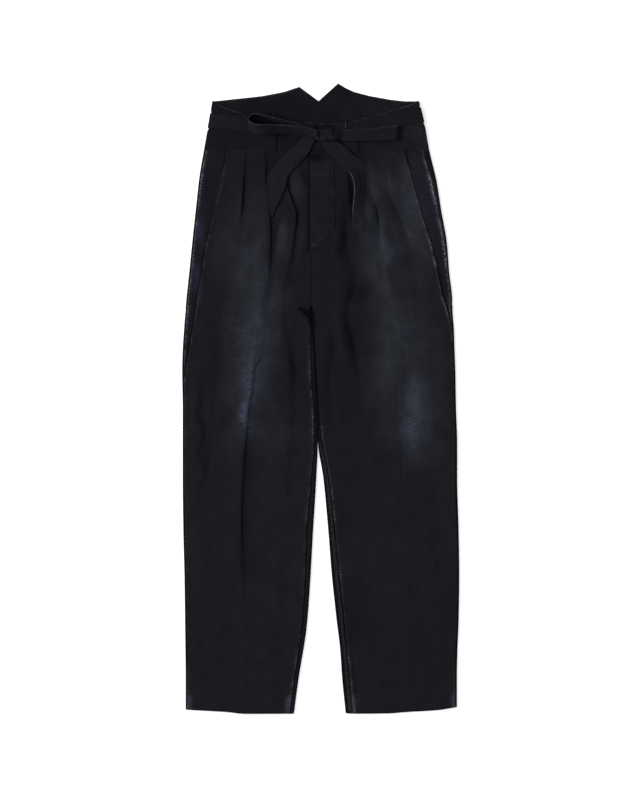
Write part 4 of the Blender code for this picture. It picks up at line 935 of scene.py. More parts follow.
    def back_path(self, height, thick):
        """The middle of the back panel's wall: from the inseam, round the inner edge, across the
        underside, round the outer edge and up to the outseam.  Above the crotch it starts at the
        centre back seam instead."""
        inward = self.inward
        low = 0.5 * thick
        touching = 0.6 * smooth((height - 455.0) / 25.0)
        edge = self.inner(height) - inward * (0.5 * SEAM - touching)
        start = self.inseam(height) + inward * 0.5 * SEAM
        turn = edge - inward * 0.5 * EDGE_RISE
        shares = np.array((0.0, 0.06, 0.16, 0.32, 0.5, 0.75))
        strip = self.top_path(start + (turn - start) * shares, height, thick)
        bend = roll(turn, inward, 0.5 * EDGE_RISE, 0.5 * (EDGE_RISE - thick), 1.0)
        below = np.concatenate([strip, bend], axis=1)
        lapped = 0.6 * (1.0 - smooth((height - HOLLOW - 4.0) / 8.0))
        begin = centre_back(height) - inward * (0.5 * SEAM - lapped)
        spread = lerp(0.05, 2.4, smooth((height - HOLLOW - 1.0) / 12.0))
        x = begin - inward * spread * np.arange(below.shape[1])
        above = grid_of(x, low, 0.0)
        path = np.where((height < HOLLOW)[..., None], below, above)
        outer_turn = self.outer(height) + inward * 0.5 * EDGE_RISE
        bottom = path[:, -1:, 0]
        fill = int(np.abs(outer_turn - bottom).max() / (1.6 * FILL_STEP))
        x = bottom + (outer_turn - bottom) * (np.arange(1, fill + 1) / (fill + 1.0))
        under = grid_of(x, low, 0.0)
        rolled = roll(outer_turn, -inward, 0.5 * EDGE_RISE, 0.5 * EDGE_RISE - low, -1.0)
        end = self.outseam(height) - inward * 0.5 * SEAM
        side = self.top_path(outer_turn + (end - outer_turn) * np.array((0.5, 0.8, 1.0)), height, thick)
        return np.concatenate([path, under, rolled, side], axis=1)


def roll(x, outward, level, radius, down):
    """Half a turn of the wall's middle line round an edge, from the top down or from below up."""
    turn = np.radians(np.linspace(90.0, -90.0, 9)) * down
    across = x + outward * radius * np.cos(turn)
    return grid_of(across, level + radius * np.sin(turn), 0.0)


# The record's slot for each kind of piece; the rest are belt_cloth
SLOTS = {
    "front_leg": "leg_denim", "fly": "leg_denim", "back_leg": "back_denim", "side_panel": "pocket_denim",
    "waistband": "waist_denim", "belt_loop": "waist_denim", "stitches": "waist_denim",
}
LEAST_FILLED = 0.31  # the least share of its rectangle that a cut piece is taken to fill

# The pieces made so far: what stitches and laid pieces rest on, and what each sheet measures flat
SURFACES = {}
SHEETS = {}


def slot_of(name):
    """The record's slot that a piece takes its finish from."""
    for start, slot in SLOTS.items():
        if name.startswith(start):
            return slot
    return "belt_cloth"


def surface_level(name, x, height):
    """The height of a piece's upper face at a place, or None beside the piece."""
    hit = SURFACES[name][0].ray_cast(Vector((x, height, ABOVE)), DOWN)[0]
    return None if hit is None else hit.z


def edge_taper(count):
    """The share of the cloth's thickness at each of a row's points, thinner at both its ends."""
    taper = np.ones(count)
    for i, share in enumerate(EDGE_SHARES):
        taper[i] = share
        taper[-1 - i] = share
    return taper


def spaced(low, high, step):
    """An odd number of places from low to high, closer together at both ends."""
    offsets = np.array(EDGE_OFFSETS)
    count = 2 * int((high - low) / (2.0 * step)) + 1
    inner = np.linspace(low + 2.0, high - 2.0, count)
    return np.concatenate([low + offsets, inner, high - offsets[::-1]])


def shell_faces(rows, columns):
    """Faces of a closed shell: an upper grid, a lower one with every second row, and the edges."""
    low_rows = (rows + 1) // 2
    upper = np.arange(rows * columns).reshape(rows, columns)
    lower = np.arange(low_rows * columns).reshape(low_rows, columns) + rows * columns
    quads = [np.stack([upper[:-1, :-1], upper[:-1, 1:], upper[1:, 1:], upper[1:, :-1]], axis=2)]
    quads.append(np.stack([lower[:-1, :-1], lower[1:, :-1], lower[1:, 1:], lower[:-1, 1:]], axis=2))
    faces = [face for grid in quads for face in grid.reshape(-1, 4).tolist()]
    for c in range(columns - 1):
        faces.append([int(i) for i in (upper[0, c], lower[0, c], lower[0, c + 1], upper[0, c + 1])])
        faces.append([int(i) for i in (upper[-1, c], upper[-1, c + 1], lower[-1, c + 1], lower[-1, c])])
    for r in range(low_rows - 1):
        left = (upper[2 * r, 0], upper[2 * r + 1, 0], upper[2 * r + 2, 0], lower[r + 1, 0], lower[r, 0])
        right = (upper[2 * r, -1], lower[r, -1], lower[r + 1, -1], upper[2 * r + 2, -1], upper[2 * r + 1, -1])
        faces.append([int(i) for i in left])
        faces.append([int(i) for i in right])
    return faces


def signed_volume(points, faces):
    """Six times the volume inside the faces: below zero where they face inwards."""
    total = 0.0
    for size in (3, 4, 5):
        group = np.array([face for face in faces if len(face) == size])
        for k in range(1, size - 1):
            if len(group):
                a, b, c = (points[group[:, i]] for i in (0, k, k + 1))
                total += np.einsum("ij,ij->", a, np.cross(b, c))
    return total


def add_object(name, data):
    """A new object in the scene."""
    made = bpy.data.objects.new(name, data)
    bpy.context.scene.collection.objects.link(made)
    return made


def add_piece(name, points, faces, material, marks=None, weave=None):
    """One object from points in millimetres, with its marks and weave stored for its material."""
    if signed_volume(points, faces) < 0:
        faces = [face[::-1] for face in faces]
    placed = points - np.array((0.0, 0.5 * LENGTH, 0.0))
    name_here = name + "_cloth"
    mesh = bpy.data.meshes.new(name_here)
    mesh.from_pydata((placed * MM).tolist(), [], faces)
    mesh.shade_smooth()
    mesh.materials.append(material)
    for mark in MARKS:
        values = np.zeros(len(points)) if marks is None else np.clip(marks[mark], 0.0, 1.0)
        mesh.attributes.new(mark, "FLOAT", "POINT").data.foreach_set("value", values.astype(np.float32))
    spread = placed if weave is None else weave
    made = mesh.attributes.new("weave", "FLOAT_VECTOR", "POINT")
    made.data.foreach_set("vector", spread.astype(np.float32).ravel())
    piece = add_object(name_here, mesh)
    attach(piece, "root")
    SURFACES[name] = (BVHTree.FromPolygons(points.tolist(), faces), points)
    return piece


def flat_size(widths, lengths):
    """A sheet's width and length in metres, measured along the cloth, and the area of its cut."""
    width = float(widths.sum(axis=1).max()) * MM
    length = float(lengths.sum(axis=0).max()) * MM
    cell = 0.25 * (widths[:-1] + widths[1:]) * (lengths[:, :-1] + lengths[:, 1:])
    area = min(float(cell.sum()) * MM * MM, width * length)
    return (width, length), max(area, LEAST_FILLED * width * length)


def shell(name, middle, thick, marks):
    """A thin closed shell on a grid of middle points (x, height, z), rounded off at its edges.
    It stands for the CAD node of the same name, and is made of that node's cloth."""
    rows, columns = middle.shape[:2]
    along = np.gradient(middle, axis=0)
    across = np.gradient(middle, axis=1)
    normal = np.cross(across, along)
    normal /= np.maximum(np.linalg.norm(normal, axis=2), 1e-9)[..., None]
    half = 0.5 * thick * edge_taper(rows)[:, None] * edge_taper(columns)[None, :]
    upper = middle + normal * half[..., None]
    lower = (middle - normal * half[..., None])[::2]
    points = np.concatenate([upper.reshape(-1, 3), lower.reshape(-1, 3)])
    widths = np.linalg.norm(np.diff(middle, axis=1), axis=2)
    lengths = np.linalg.norm(np.diff(middle, axis=0), axis=2)
    spread = np.zeros_like(middle)
    spread[:, 1:, 0] = np.cumsum(widths, axis=1)
    spread[1:, :, 1] = np.cumsum(lengths, axis=0)
    full = {mark: np.broadcast_to(marks.get(mark, 0.0), (rows, columns)) for mark in MARKS}
    full = {mark: np.concatenate([grid.ravel(), grid[::2].ravel()]) for mark, grid in full.items()}
    weave = np.concatenate([spread.reshape(-1, 3), spread[::2].reshape(-1, 3)])
    piece = add_piece(name, points, shell_faces(rows, columns), CLOTHS[slot_of(name)], full, weave)
    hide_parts(name)
    SHEETS[name] = (piece, *flat_size(widths, lengths))


def panel(leg, make_path, heights, extra_painted_shade):
    """The middle points and marks of a leg's panel, with extra painted shade added all over it."""
    rows = heights[:, None]
    thick = lerp(HEM_CLOTH, CLOTH, smooth((rows - HEM_DEPTH + 2.0) / 4.0))
    path = make_path(rows, thick)
    x = path[..., 0]
    level = path[..., 1]
    on_top = smooth(level / 3.2)
    under = 0.4 * (1.0 - on_top) * (1.0 - smooth((rows - 640.0) / 60.0))
    level = level + on_top * leg.relief(x, rows)
    level = level + under * smooth(soft_noise(x, rows, 30.0, 80.0, 15))
    slant = np.maximum(0.0, 1.0 - rows / HEM_FADE)
    middle = grid_of(x, rows + slant * leg.hem(x), level)
    marks = leg.marks(x, rows)
    # Painted shade: the slits under the pleats, and the extra for the back panel, whose rolled edges lie in
    # shade; the back is also drawn less washed
    marks["deep"] = marks["deep"] + 0.9 * path[..., 2] + extra_painted_shade
    if extra_painted_shade:
        marks["wash"] = marks["wash"] * 0.8
        marks["blue"] = marks["blue"] * 0.15
        marks["deep"] = marks["deep"] - 0.1 * smooth((rows - 480.0) / 60.0)
    return middle, thick, marks


def make_leg(leg):
    """The front panel and the back panel of one leg."""
    heights = spaced(0.0, WAIST_SEAM - 0.5 * SEAM, ROW_STEP)
    middle, thick, marks = panel(leg, leg.front_path, heights, 0.0)
    shell("front_leg_" + leg.side, middle, thick, marks)
    middle, thick, marks = panel(leg, leg.back_path, heights, 0.25)
    shell("back_leg_" + leg.side, middle, thick, marks)


def make_side_panel(leg):
    """The pocket's facing, which shows between the pocket line and the outseam."""
    narrowest = 2.0
    lowest = POCKET_END[leg.side]
    heights = spaced(lowest, WAIST_SEAM - 0.5 * SEAM, ROW_STEP)
    rows = heights[:, None]
    outer = leg.outseam(rows) + leg.inward * 0.5 * SEAM
    width = np.maximum(leg.inward * (leg.pocket(rows) - outer), narrowest)
    tucked = 1.0 - smooth((rows - lowest) / POCKET_FADE)
    shares = np.array((0.0, 0.02, 0.06, 0.14, 0.26, 0.4, 0.52, 0.64, 0.76, 0.88, 1.0))
    seen = outer + leg.inward * width * shares
    hidden = outer + leg.inward * (width + POCKET_TUCK * np.array((0.25, 0.5, 0.75, 0.93, 0.97, 1.0)))
    x = np.concatenate([seen, hidden], axis=1)
    step = np.clip(leg.inward * (x - outer) / width, 0.0, 1.0)
    under = LAYER * np.maximum(smooth(1.3 * step), tucked)
    level = leg.cloth_top(x, rows) - 0.5 * CLOTH - under + leg.relief(x, rows)
    middle = grid_of(x, rows, level)
    marks = leg.marks(x, rows)
    # Painted shadow on the facing, just under the pocket line's edge
    marks["deep"] = marks["deep"] + 0.55 * bell((leg.inward * (x - outer) - width + 1.0) / 3.0)
    shell("side_panel_" + leg.side, middle, CLOTH, marks)


def band_marks(x, height, top):
    """How a waistband has worn, along its upper edge and its seam, and the painted shade on it."""
    edge = bell((top - height) / 1.3)
    patchy = 0.6 + 0.4 * soft_noise(x, height, 9.0, 30.0, 131)
    lighter = 0.30 * smooth((x - 40.0) / 70.0) + 0.3 * smooth((x - 150.0) / 25.0)
    return {
        "wear": 0.24 * edge * patchy,
        "wash": 0.10 + lighter + 0.12 * soft_noise(x, height, 40.0, 22.0, 137),
        # painted shade where the bow and the belt would shade the band
        "deep": patch_sum(PAINTED_SHADES, x, height),
    }


def band_relief(x, height, seed):
    """Soft waves along a waistband."""
    above_seam = height - WAIST_SEAM
    waves = 0.30 * soft_noise(x, height, 24.0, 16.0, seed) + 0.12 * soft_noise(x, height, 9.0, 9.0, seed + 1)
    return waves * smooth(above_seam / 8.0) + 0.22 * puckers(above_seam, x, 4.5, 41)


def band_rows(leg, seam):
    """A waistband's rows from its seam up: the share of the way, and the height at the side."""
    side_top = float(back_edge(leg.outer(WAIST_SIDE)))
    shares = (spaced(seam, side_top, ROW_STEP) - seam)[:, None] / (side_top - seam)
    return shares, lerp(seam, side_top, shares)


def make_waistband_front(leg):
    """The shaped front waistband, from the side seam to the centre front."""
    seam = WAIST_SEAM - WAIST_LAP
    shares, side_height = band_rows(leg, seam)
    start = leg.outseam(side_height) + leg.inward * 0.5 * SEAM
    end = CENTRE_FRONT - leg.inward * 0.5 * SEAM
    across = spaced(0.0, abs(end - float(start[0, 0])), FILL_STEP)
    x = lerp(start, end, across / across[-1])
    height = lerp(seam, front_edge(x), shares)
    level = leg.cloth_top(x, height) - 0.5 * CLOTH + band_relief(x, height, 141)
    marks = band_marks(x, height, front_edge(x))
    shell("waistband_front_" + leg.side, grid_of(x, height, level), CLOTH, marks)


BACK_PEAKS = {"r": -36.0, "l": 30.0}  # x of the back notch's two points


def make_waistband_back(leg):
    """Half of the back waistband, up to its notch, lifted where the belt passes under it and
    rolled over the side to the front's seam."""
    inward = leg.inward
    seam = WAIST_SEAM + 0.5 * SEAM
    shares, side_height = band_rows(leg, seam)
    lift = belt_lift(leg.outer(side_height), side_height)
    radius = 0.5 * (edge_rise(side_height) - lift - CLOTH)
    drawn_in = BELT_PINCH * lift / BELT_RISE
    turn = leg.outer(side_height) + inward * (radius + 0.5 * CLOTH + drawn_in)
    start = centre_back(side_height) - inward * 0.5 * SEAM
    peak = BACK_PEAKS[leg.side]
    near = spaced(0.0, abs(peak - float(start[0, 0])), FILL_STEP)
    count = int(abs(float(turn[0, 0]) - peak) / FILL_STEP)
    far = np.arange(1, count) / count
    x = np.concatenate([lerp(start, peak, near / near[-1]), lerp(peak, turn, far)], axis=1)
    height = lerp(seam, back_edge(x), shares)
    level = belt_lift(x, height) + 0.5 * CLOTH + 0.5 * np.maximum(band_relief(x, height, 151), 0.0)
    bend = roll(turn, -inward, lift + 0.5 * CLOTH + radius, radius, -1.0)
    end = leg.outseam(side_height) - inward * 0.5 * SEAM
    side_x = turn + (end - turn) * np.array((0.4, 0.7, 0.9, 1.0))
    side_z = leg.cloth_top(side_x, side_height) - 0.5 * CLOTH + band_relief(side_x, side_height, 141)
    x = np.concatenate([x, bend[..., 0], side_x], axis=1)
    level = np.concatenate([level, bend[..., 1], side_z], axis=1)
    round_side = side_height + np.zeros((1, x.shape[1] - height.shape[1]))
    height = np.concatenate([height, round_side], axis=1)
    marks = band_marks(x, height, back_edge(x))
    shell("waistband_back_" + leg.side, grid_of(x, height, level), CLOTH, marks)


class Ground:
    """The height of everything laid so far, on a grid round the waist."""

    def __init__(self):
        counts = [int((high - low) / GROUND_CELL) + 1 for low, high in zip(GROUND_LOW, GROUND_HIGH)]
        self.z = np.zeros(counts)

    def add(self, name):
        """Lays one more piece on the grid."""
        points = SURFACES[name][1]
        spans = []
        for axis in range(2):
            low = int((points[:, axis].min() - GROUND_LOW[axis]) / GROUND_CELL)
            high = int((points[:, axis].max() - GROUND_LOW[axis]) / GROUND_CELL) + 2
            spans.append(range(max(low, 0), min(high, self.z.shape[axis])))
        for i in spans[0]:
            x = GROUND_LOW[0] + i * GROUND_CELL
            for j in spans[1]:
                level = surface_level(name, x, GROUND_LOW[1] + j * GROUND_CELL)
                if level is not None and level > self.z[i, j]:
                    self.z[i, j] = level

    def cover(self, reach):
        """The grid as a cloth over it would lie: bridged and softened over so many cells."""
        grid = self.z
        for axis in (0, 1):
            shifted = [np.roll(grid, step, axis=axis) for step in range(-reach, reach + 1)]
            grid = np.maximum.reduce(shifted)
        for _ in range(2):
            for axis in (0, 1):
                shifted = [np.roll(grid, step, axis=axis) for step in range(-reach, reach + 1)]
                grid = sum(shifted) / len(shifted)
        return grid

    def rest(self, x, height, reach):
        """Where a cloth laid over everything so far would lie."""
        grid = self.cover(reach)
        u = np.clip((x - GROUND_LOW[0]) / GROUND_CELL, 0, grid.shape[0] - 1.001)
        v = np.clip((height - GROUND_LOW[1]) / GROUND_CELL, 0, grid.shape[1] - 1.001)
        i = u.astype(int)
        j = v.astype(int)
        near = lerp(grid[i, j], grid[i + 1, j], u - i)
        far = lerp(grid[i, j + 1], grid[i + 1, j + 1], u - i)
        return lerp(near, far, v - j)


def across_strip(width):
    """Shares across a strip from 0 to 1, close together at its edges, and the distance to them."""
    places = spaced(0.0, width, STRIP_STEP)
    return places / width, np.minimum(places, width - places)


def stitched_edge(distance):
    """How much thicker a turned and stitched edge is, at a distance in from it."""
    return 0.40 * bell((distance - 0.8) / 1.0) - 0.30 * bell((distance - 3.0) / 0.9)


def strip_marks(x, height, distance, seed, rubbed=0.34):
    """How a strip has worn along its edges, and the painted shade along its edges and in its stitch channel.
    """
    patchy = 0.65 + 0.35 * soft_noise(x, height, 8.0, 8.0, seed)
    return {
        "wear": rubbed * bell(distance / 0.9) * patchy,
        "wash": 0.16 + 0.14 * soft_noise(x, height, 20.0, 14.0, seed + 1),
        # painted shade in the stitch channel 3 mm in, and at the edges where they are less rubbed
        "deep": 0.14 * bell((distance - 3.0) / 1.0) + (0.6 - rubbed) * 0.5 * bell(distance / 0.8),
    }


def laid_strip(name, rows, thick, ground, finish, waves, rubbed, reach=4, stitched=True):
    """A flat piece laid on what is under it, from rows like those of the bow's ends.  "finish"
    changes its marks and says where it is thinner."""
    table = np.array(rows, float)[None]
    gaps = np.linalg.norm(np.diff(table[0, :, :2], axis=0), axis=1)
    path = refined(table, [max(2, int(gap / ROW_STEP)) for gap in gaps])[0]
    if len(path) % 2 == 0:
        path = np.concatenate([path[:-1], [lerp(path[-2], path[-1], 0.5)], path[-1:]])
    width = float(np.linalg.norm(table[0, :, 2:4] - table[0, :, :2], axis=1).max())
    shares, distance = across_strip(width)
    x = lerp(path[:, :1], path[:, 2:3], shares)
    height = lerp(path[:, 1:2], path[:, 3:4], shares)
    lift = lerp(path[:, 4:5], path[:, 5:6], shares)
    bend = waves * (1.0 + soft_noise(x, height, 13.0, 17.0, len(name)))
    level = ground.rest(x, height, reach) + GAP + 0.5 * thick + lift + bend
    marks = strip_marks(x, height, distance, len(name), rubbed)
    thinner = finish(marks, x, height, shares * width)
    grid = (thick + (stitched_edge(distance) if stitched else 0.0)) * (1.0 - thinner)
    level = level - 0.5 * thick * thinner
    shell(name, grid_of(x, height, level), grid, marks)
    ground.add(name)


def across_belt():
    """Places across the belt from its middle line, and the distance of each to its edges."""
    shares, distance = across_strip(BELT_WIDTH)
    return lerp(-0.5 * BELT_WIDTH, 0.5 * BELT_WIDTH, shares), distance


def belt_back_end(leg):
    """x where the belt's stretch behind the back ends on this leg's side."""
    side_x = float(leg.outer(belt_back_line(leg.outer(BELT_SIDE))))
    return side_x + leg.inward * BELT_BACK_INSET


def make_belt_back(legs):
    """The belt's stretch behind the back."""
    across, distance = across_belt()
    ends = [belt_back_end(leg) for leg in legs]
    x = spaced(*ends, ROW_STEP)[:, None]
    height = belt_back_line(x) + across
    marks = strip_marks(x, height, distance, 161, rubbed=0.07)
    shell("belt_back", grid_of(x, height, 0.5 * BELT_CLOTH), BELT_CLOTH, marks)


def make_belt_strand(leg, ground):
    """The belt from the knot, over the front and round one side, to the stretch behind the back."""
    across, distance = across_belt()
    inward = leg.inward
    knot_x = {"r": KNOT_LEFT, "l": KNOT_RIGHT}[leg.side] - inward * 0.5
    side_x = float(leg.outer(belt_line(leg.outer(BELT_SIDE))))
    count = 2 * int(abs(side_x - knot_x) / 5.0)
    x = np.linspace(knot_x, side_x + inward * STRAND_TURN, count)[:, None]
    height = belt_line(x) + across
    bend = 0.30 * (1.0 + soft_noise(x, height, 14.0, 11.0, 163))
    front = grid_of(x, height, ground.rest(x, height, 4) + GAP + 0.5 * BELT_CLOTH + bend)

    radius = 0.5 * (EDGE_RISE + BELT_RISE + GAP)
    turn = radius - GAP - 0.5 * BELT_CLOTH + BELT_PINCH
    height = (belt_back_line(side_x) + across)[:, None]
    rolled = roll(leg.outer(height) + inward * turn, -inward, 0.5 * BELT_CLOTH + radius, radius, 1.0)
    rolled[..., 2] = rolled[..., 1]
    rolled[..., 1] = height

    end = belt_back_end(leg) - inward * GAP
    tucked = grid_of(end, (belt_back_line(end) + across)[None], 0.5 * BELT_CLOTH)
    path = np.concatenate([front, rolled.transpose(1, 0, 2), tucked], axis=0)
    order = path.transpose(1, 0, 2)[..., (0, 2, 1)]
    middle = refined(order, [2] * (order.shape[1] - 1))[..., (0, 2, 1)].transpose(1, 0, 2)
    marks = strip_marks(middle[..., 0], middle[..., 1], distance, 165, rubbed=0.07)
    shell("belt_strand_" + leg.side, middle, BELT_CLOTH + stitched_edge(distance), marks)
    ground.add("belt_strand_" + leg.side)


def make_fly(ground):
    """The fly placket, closed left over right, with its curved end."""
    rows = [(left, height, right, height, 0.0, 0.0) for height, left, right in FLY]

    def finish(marks, x, height, across):
        """Sewn down along its curved side and open along its straight one."""
        # Painted shade: the shade patches and lines, a painted shadow along the straight edge, and a random
        # dark tone
        dark = patch_sum(PAINTED_SHADES, x, height) + line_sum(PAINTED_SHADE_LINES, x, height)
        marks["wear"] = 0.0
        marks["deep"] = 0.9 * bell(across / 1.5) + dark + 0.20 * smooth(soft_noise(x, height, 5.0, 7.0, 195))
        marks["wash"] = 0.02 + 0.10 * smooth(soft_noise(x, height, 9.0, 12.0, 191))
        marks["wash"] = marks["wash"] + line_sum(WORN_LINES, x, height)
        return 0.8 * smooth((across - 34.0) / 6.0)

    laid_strip("fly_placket", rows, CLOTH, ground, finish, waves=0.3, rubbed=0.0, stitched=False)


def make_belt_loop(side, ground):
    """A belt loop over the belt, from the waist seam to the waistband's upper edge."""
    left, right = BELT_LOOPS[side]
    middle = 0.5 * (left + right)
    top = float(front_edge(middle)) - 1.0
    count = 6
    heights = [lerp(LOOP_FOOT, top, step / count) for step in range(count + 1)]
    rows = [(left, height, right, height, 0.0, 0.0) for height in heights]

    def finish(marks, x, height, across):
        """Rubbed where it stands out over the belt."""
        upper = smooth((height - 990.0) / 8.0)
        marks["wear"] = marks["wear"] * lerp(0.12, BELT_LOOP_WEAR[side], upper)
        marks["deep"] = marks["deep"] * 0.5
        return 0.0

    laid_strip("belt_loop_" + side, rows, BELT_LOOP_CLOTH, ground, finish, waves=0.15, rubbed=0.6)


def ribbon(name, centres, ground, seed, inside=None):
    """A stitched band along a path.  A row is (point, half the band's width as a vector).
    The inside argument gives the painted shade on the band along its path."""
    table = np.array([(*point, *across) for point, across in centres], float)[None]
    order = (0, 2, 1, 3, 4, 5)
    gaps = np.linalg.norm(np.diff(table[0, :, :3], axis=0), axis=1)
    path = refined(table[..., order], [max(2, 2 * int(gap / 2.6)) for gap in gaps])[0][:, order]
    width = 2.0 * float(np.linalg.norm(table[0, :, 3:], axis=1).max())
    shares, distance = across_strip(width)
    middle = path[:, None, :3] + path[:, None, 3:] * lerp(-1.0, 1.0, shares)[None, :, None]
    count = np.arange(len(path))[:, None]
    along = count * 1.3
    bend = 0.35 * soft_noise(along, shares[None] * width, 12.0, 9.0, seed)
    bend = bend * bell((shares[None] - 0.5) / 0.45)
    middle = middle + bend[..., None] * np.array((0.0, -0.3, 0.9))
    marks = strip_marks(along, shares[None] * width, distance[None], seed + 3)
    marks["wear"] = marks["wear"] * lerp(0.25, 1.25, smooth((shares[None] - 0.4) / 0.2))
    # Painted shade inside the loop, kept off the band's edges
    if inside:
        body = 1.0 - bell(distance[None] / 1.4)
        marks["deep"] = marks["deep"] + body * inside(middle[..., 0], count / len(path), shares[None])
    shell(name, middle, LOOP_CLOTH + stitched_edge(distance), marks)
    ground.add(name)


def make_open_loop(ground):
    """The bow's loop on the wearer's right, which stands open, resting on its lower edges."""
    front = []
    rear = []
    for x, height, gap, tilt, width in OPEN_LOOP:
        angle = math.radians(tilt)
        across = np.array((0.0, math.cos(angle), math.sin(angle))) * (0.5 * width)
        apart = np.array((0.0, -math.sin(angle), math.cos(angle)))
        centre = np.array((x, height, 0.0))
        places = [
            centre + apart * (side * 0.5 * gap) + across * share
            for side in (-1.0, 1.0) for share in (-1.0, -0.5, 0.0, 0.5, 1.0)
        ]
        places = np.array(places)
        rest = ground.rest(places[:, 0], places[:, 1], 3) + GAP + 0.5 * LOOP_CLOTH
        centre[2] = float((rest - places[:, 2]).max()) + 0.3
        front.append((centre + apart * (0.5 * gap), across))
        rear.append((centre - apart * (0.5 * gap), across))

    def inside(x, along, share):
        """Painted shade inside the loop, near its far end."""
        border = lerp(-72.0, -102.0, smooth((share - 0.35) / 0.65))
        return (1.0 - smooth((x - border + 6.0) / 10.0)) * smooth((along - 0.50) / 0.03)

    ribbon("bow_loop_r", front + rear[-2::-1], ground, 171, inside)


def make_flat_loop(ground):
    """The bow's loop on the wearer's left, pressed flat."""
    under = []
    upper = []
    for x, under_height, upper_height, apart, width in FLAT_LOOP:
        across = np.array((0.03, 0.5, 0.0)) * width
        places = under_height + np.linspace(-0.5, 0.5, 5) * width
        level = float(ground.rest(np.full(5, x), places, 3).max()) + GAP + 0.5 * LOOP_CLOTH + 0.3
        under.append((np.array((x, under_height, level)), across))
        upper.append((np.array((x, upper_height, level + apart)), across))
    x, height = FLAT_LOOP_END
    tip = np.array((x, height, 0.5 * (under[-1][0][2] + upper[-1][0][2])))
    ribbon("bow_loop_l", under + [(tip, under[-1][1])] + upper[::-1], ground, 175)


# The knot's outline: how wide and how tall the band is along it, as shares
KNOT_COLUMNS = ("along", "wide", "tall")
KNOT_SECTIONS = (
    (0.0, 0.52, 0.50), (0.03, 0.72, 0.66), (0.10, 0.90, 0.86), (0.3, 1.0, 1.0), (0.5, 0.98, 1.0),
    (0.7, 0.95, 0.96), (0.9, 0.86, 0.85), (0.97, 0.68, 0.64), (1.0, 0.48, 0.46),
)


def tube_faces(rings, around):
    """Faces of a closed tube of rings, with a flat face at each end."""
    last = (rings - 1) * around
    faces = [list(range(around)), list(range(last, last + around))[::-1]]
    for ring in range(rings - 1):
        for k in range(around):
            a = ring * around + k
            b = ring * around + (k + 1) % around
            faces.append([b, a, a + around, b + around])
    return faces


def make_knot(ground):
    """The band pulled tight over the belt, pinched into folds that run round it."""
    centre = 0.5 * (KNOT_LEFT + KNOT_RIGHT)
    base = float(ground.rest(np.array([centre]), np.array([KNOT_HEIGHT]), 4)[0]) + GAP
    wide = curve(KNOT_SECTIONS, KNOT_COLUMNS, "wide")
    tall = curve(KNOT_SECTIONS, KNOT_COLUMNS, "tall")
    along = np.linspace(0.0, 1.0, 45)[:, None]
    turn = np.linspace(0.0, 2.0 * math.pi, 65)[None, :-1]
    flow = along + 0.05 * np.sin(turn) + 0.03 * soft_noise(turn * 3.0, along, 1.0, 1.0, 181)
    slant = flow + 0.16 * np.cos(turn)
    groove = 0.025 * bell((slant - 0.46) / 0.06) + 0.04 * bell((slant - 0.90) / 0.05)
    rib = 0.03 * bell((slant - 0.30) / 0.10) + 0.03 * bell((slant - 0.72) / 0.10)
    size = 1.0 - 0.07 * np.cos(3.0 * turn + 2.0 * along) - groove + rib
    cosine = np.copysign(np.abs(np.cos(turn)) ** 0.8, np.cos(turn))
    sine = np.copysign(np.abs(np.sin(turn)) ** 0.8, np.sin(turn))
    x = centre + (KNOT_RIGHT - KNOT_LEFT) * (along - 0.5) * (0.94 - 0.14 * cosine)
    height = KNOT_HEIGHT + KNOT_HALF * cosine * wide(along) * size
    level = base + 0.5 * KNOT_RISE * (1.0 + sine * tall(along) * size)
    points = grid_of(x, height, level).reshape(-1, 3)
    crest = np.clip(rib * 20.0, 0.0, 1.0)
    marks = {
        "wear": 0.04 * crest + 0.16 * bell((along - 0.05) / 0.03),
        "wash": 0.22,
        "blue": 0.0,
        # painted shade in the knot's grooves and at its right end
        "deep": np.clip(groove * 9.0 + 0.8 * bell((1.0 - along) / 0.08), 0.0, 0.9),
    }
    marks = {name: np.broadcast_to(grid, x.shape).ravel() for name, grid in marks.items()}
    weave = grid_of(turn * KNOT_HALF, x, 0.0).reshape(-1, 3)
    piece = add_piece("knot", points, tube_faces(*x.shape), CLOTHS["belt_cloth"], marks, weave)
    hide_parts("knot")
    half_way_round = KNOT_HALF * 2.0 + 0.7 * KNOT_RISE
    SHEETS["knot"] = (piece, ((KNOT_RIGHT - KNOT_LEFT) * MM, half_way_round * MM), None)
    ground.add("knot")


def make_tail(side, rows, ground):
    """One hanging end of the bow, laid down over the front."""

    def finish(marks, x, height, across):
        """A painted highlight along the raised edge, bright on the left end and faint on the right."""
        raised = smooth((height - TAIL_FLAT) / 20.0) * (1.0 - smooth((height - TAIL_RAISED) / 14.0))
        near = bell((across - 0.5) / 1.0)
        # Painted highlight where the raised edge catches the light
        marks["wear"] = near * raised * TAIL_EDGE_HIGHLIGHT[side]
        if side == "r":
            marks["wash"] = marks["wash"] + 0.12
            return 0.0
        lower = 1.0 - smooth((height - TAIL_FLAT) / 70.0)
        hanging = smooth((TAIL_BENT - height) / 20.0)
        right = smooth((across - 10.0) / 6.0) * hanging
        marks["wash"] = marks["wash"] + 0.12 + 0.50 * lower + 0.25 * right
        marks["deep"] = marks["deep"] * (1.0 - np.maximum(right, 0.8 * lower))
        return 0.8 * np.maximum(smooth((across - 14.0) / 8.0) * hanging, lower ** 2)

    laid_strip("tail_" + side, rows, TAIL_CLOTH, ground, finish, waves=0.35, rubbed=0.1, reach=3)


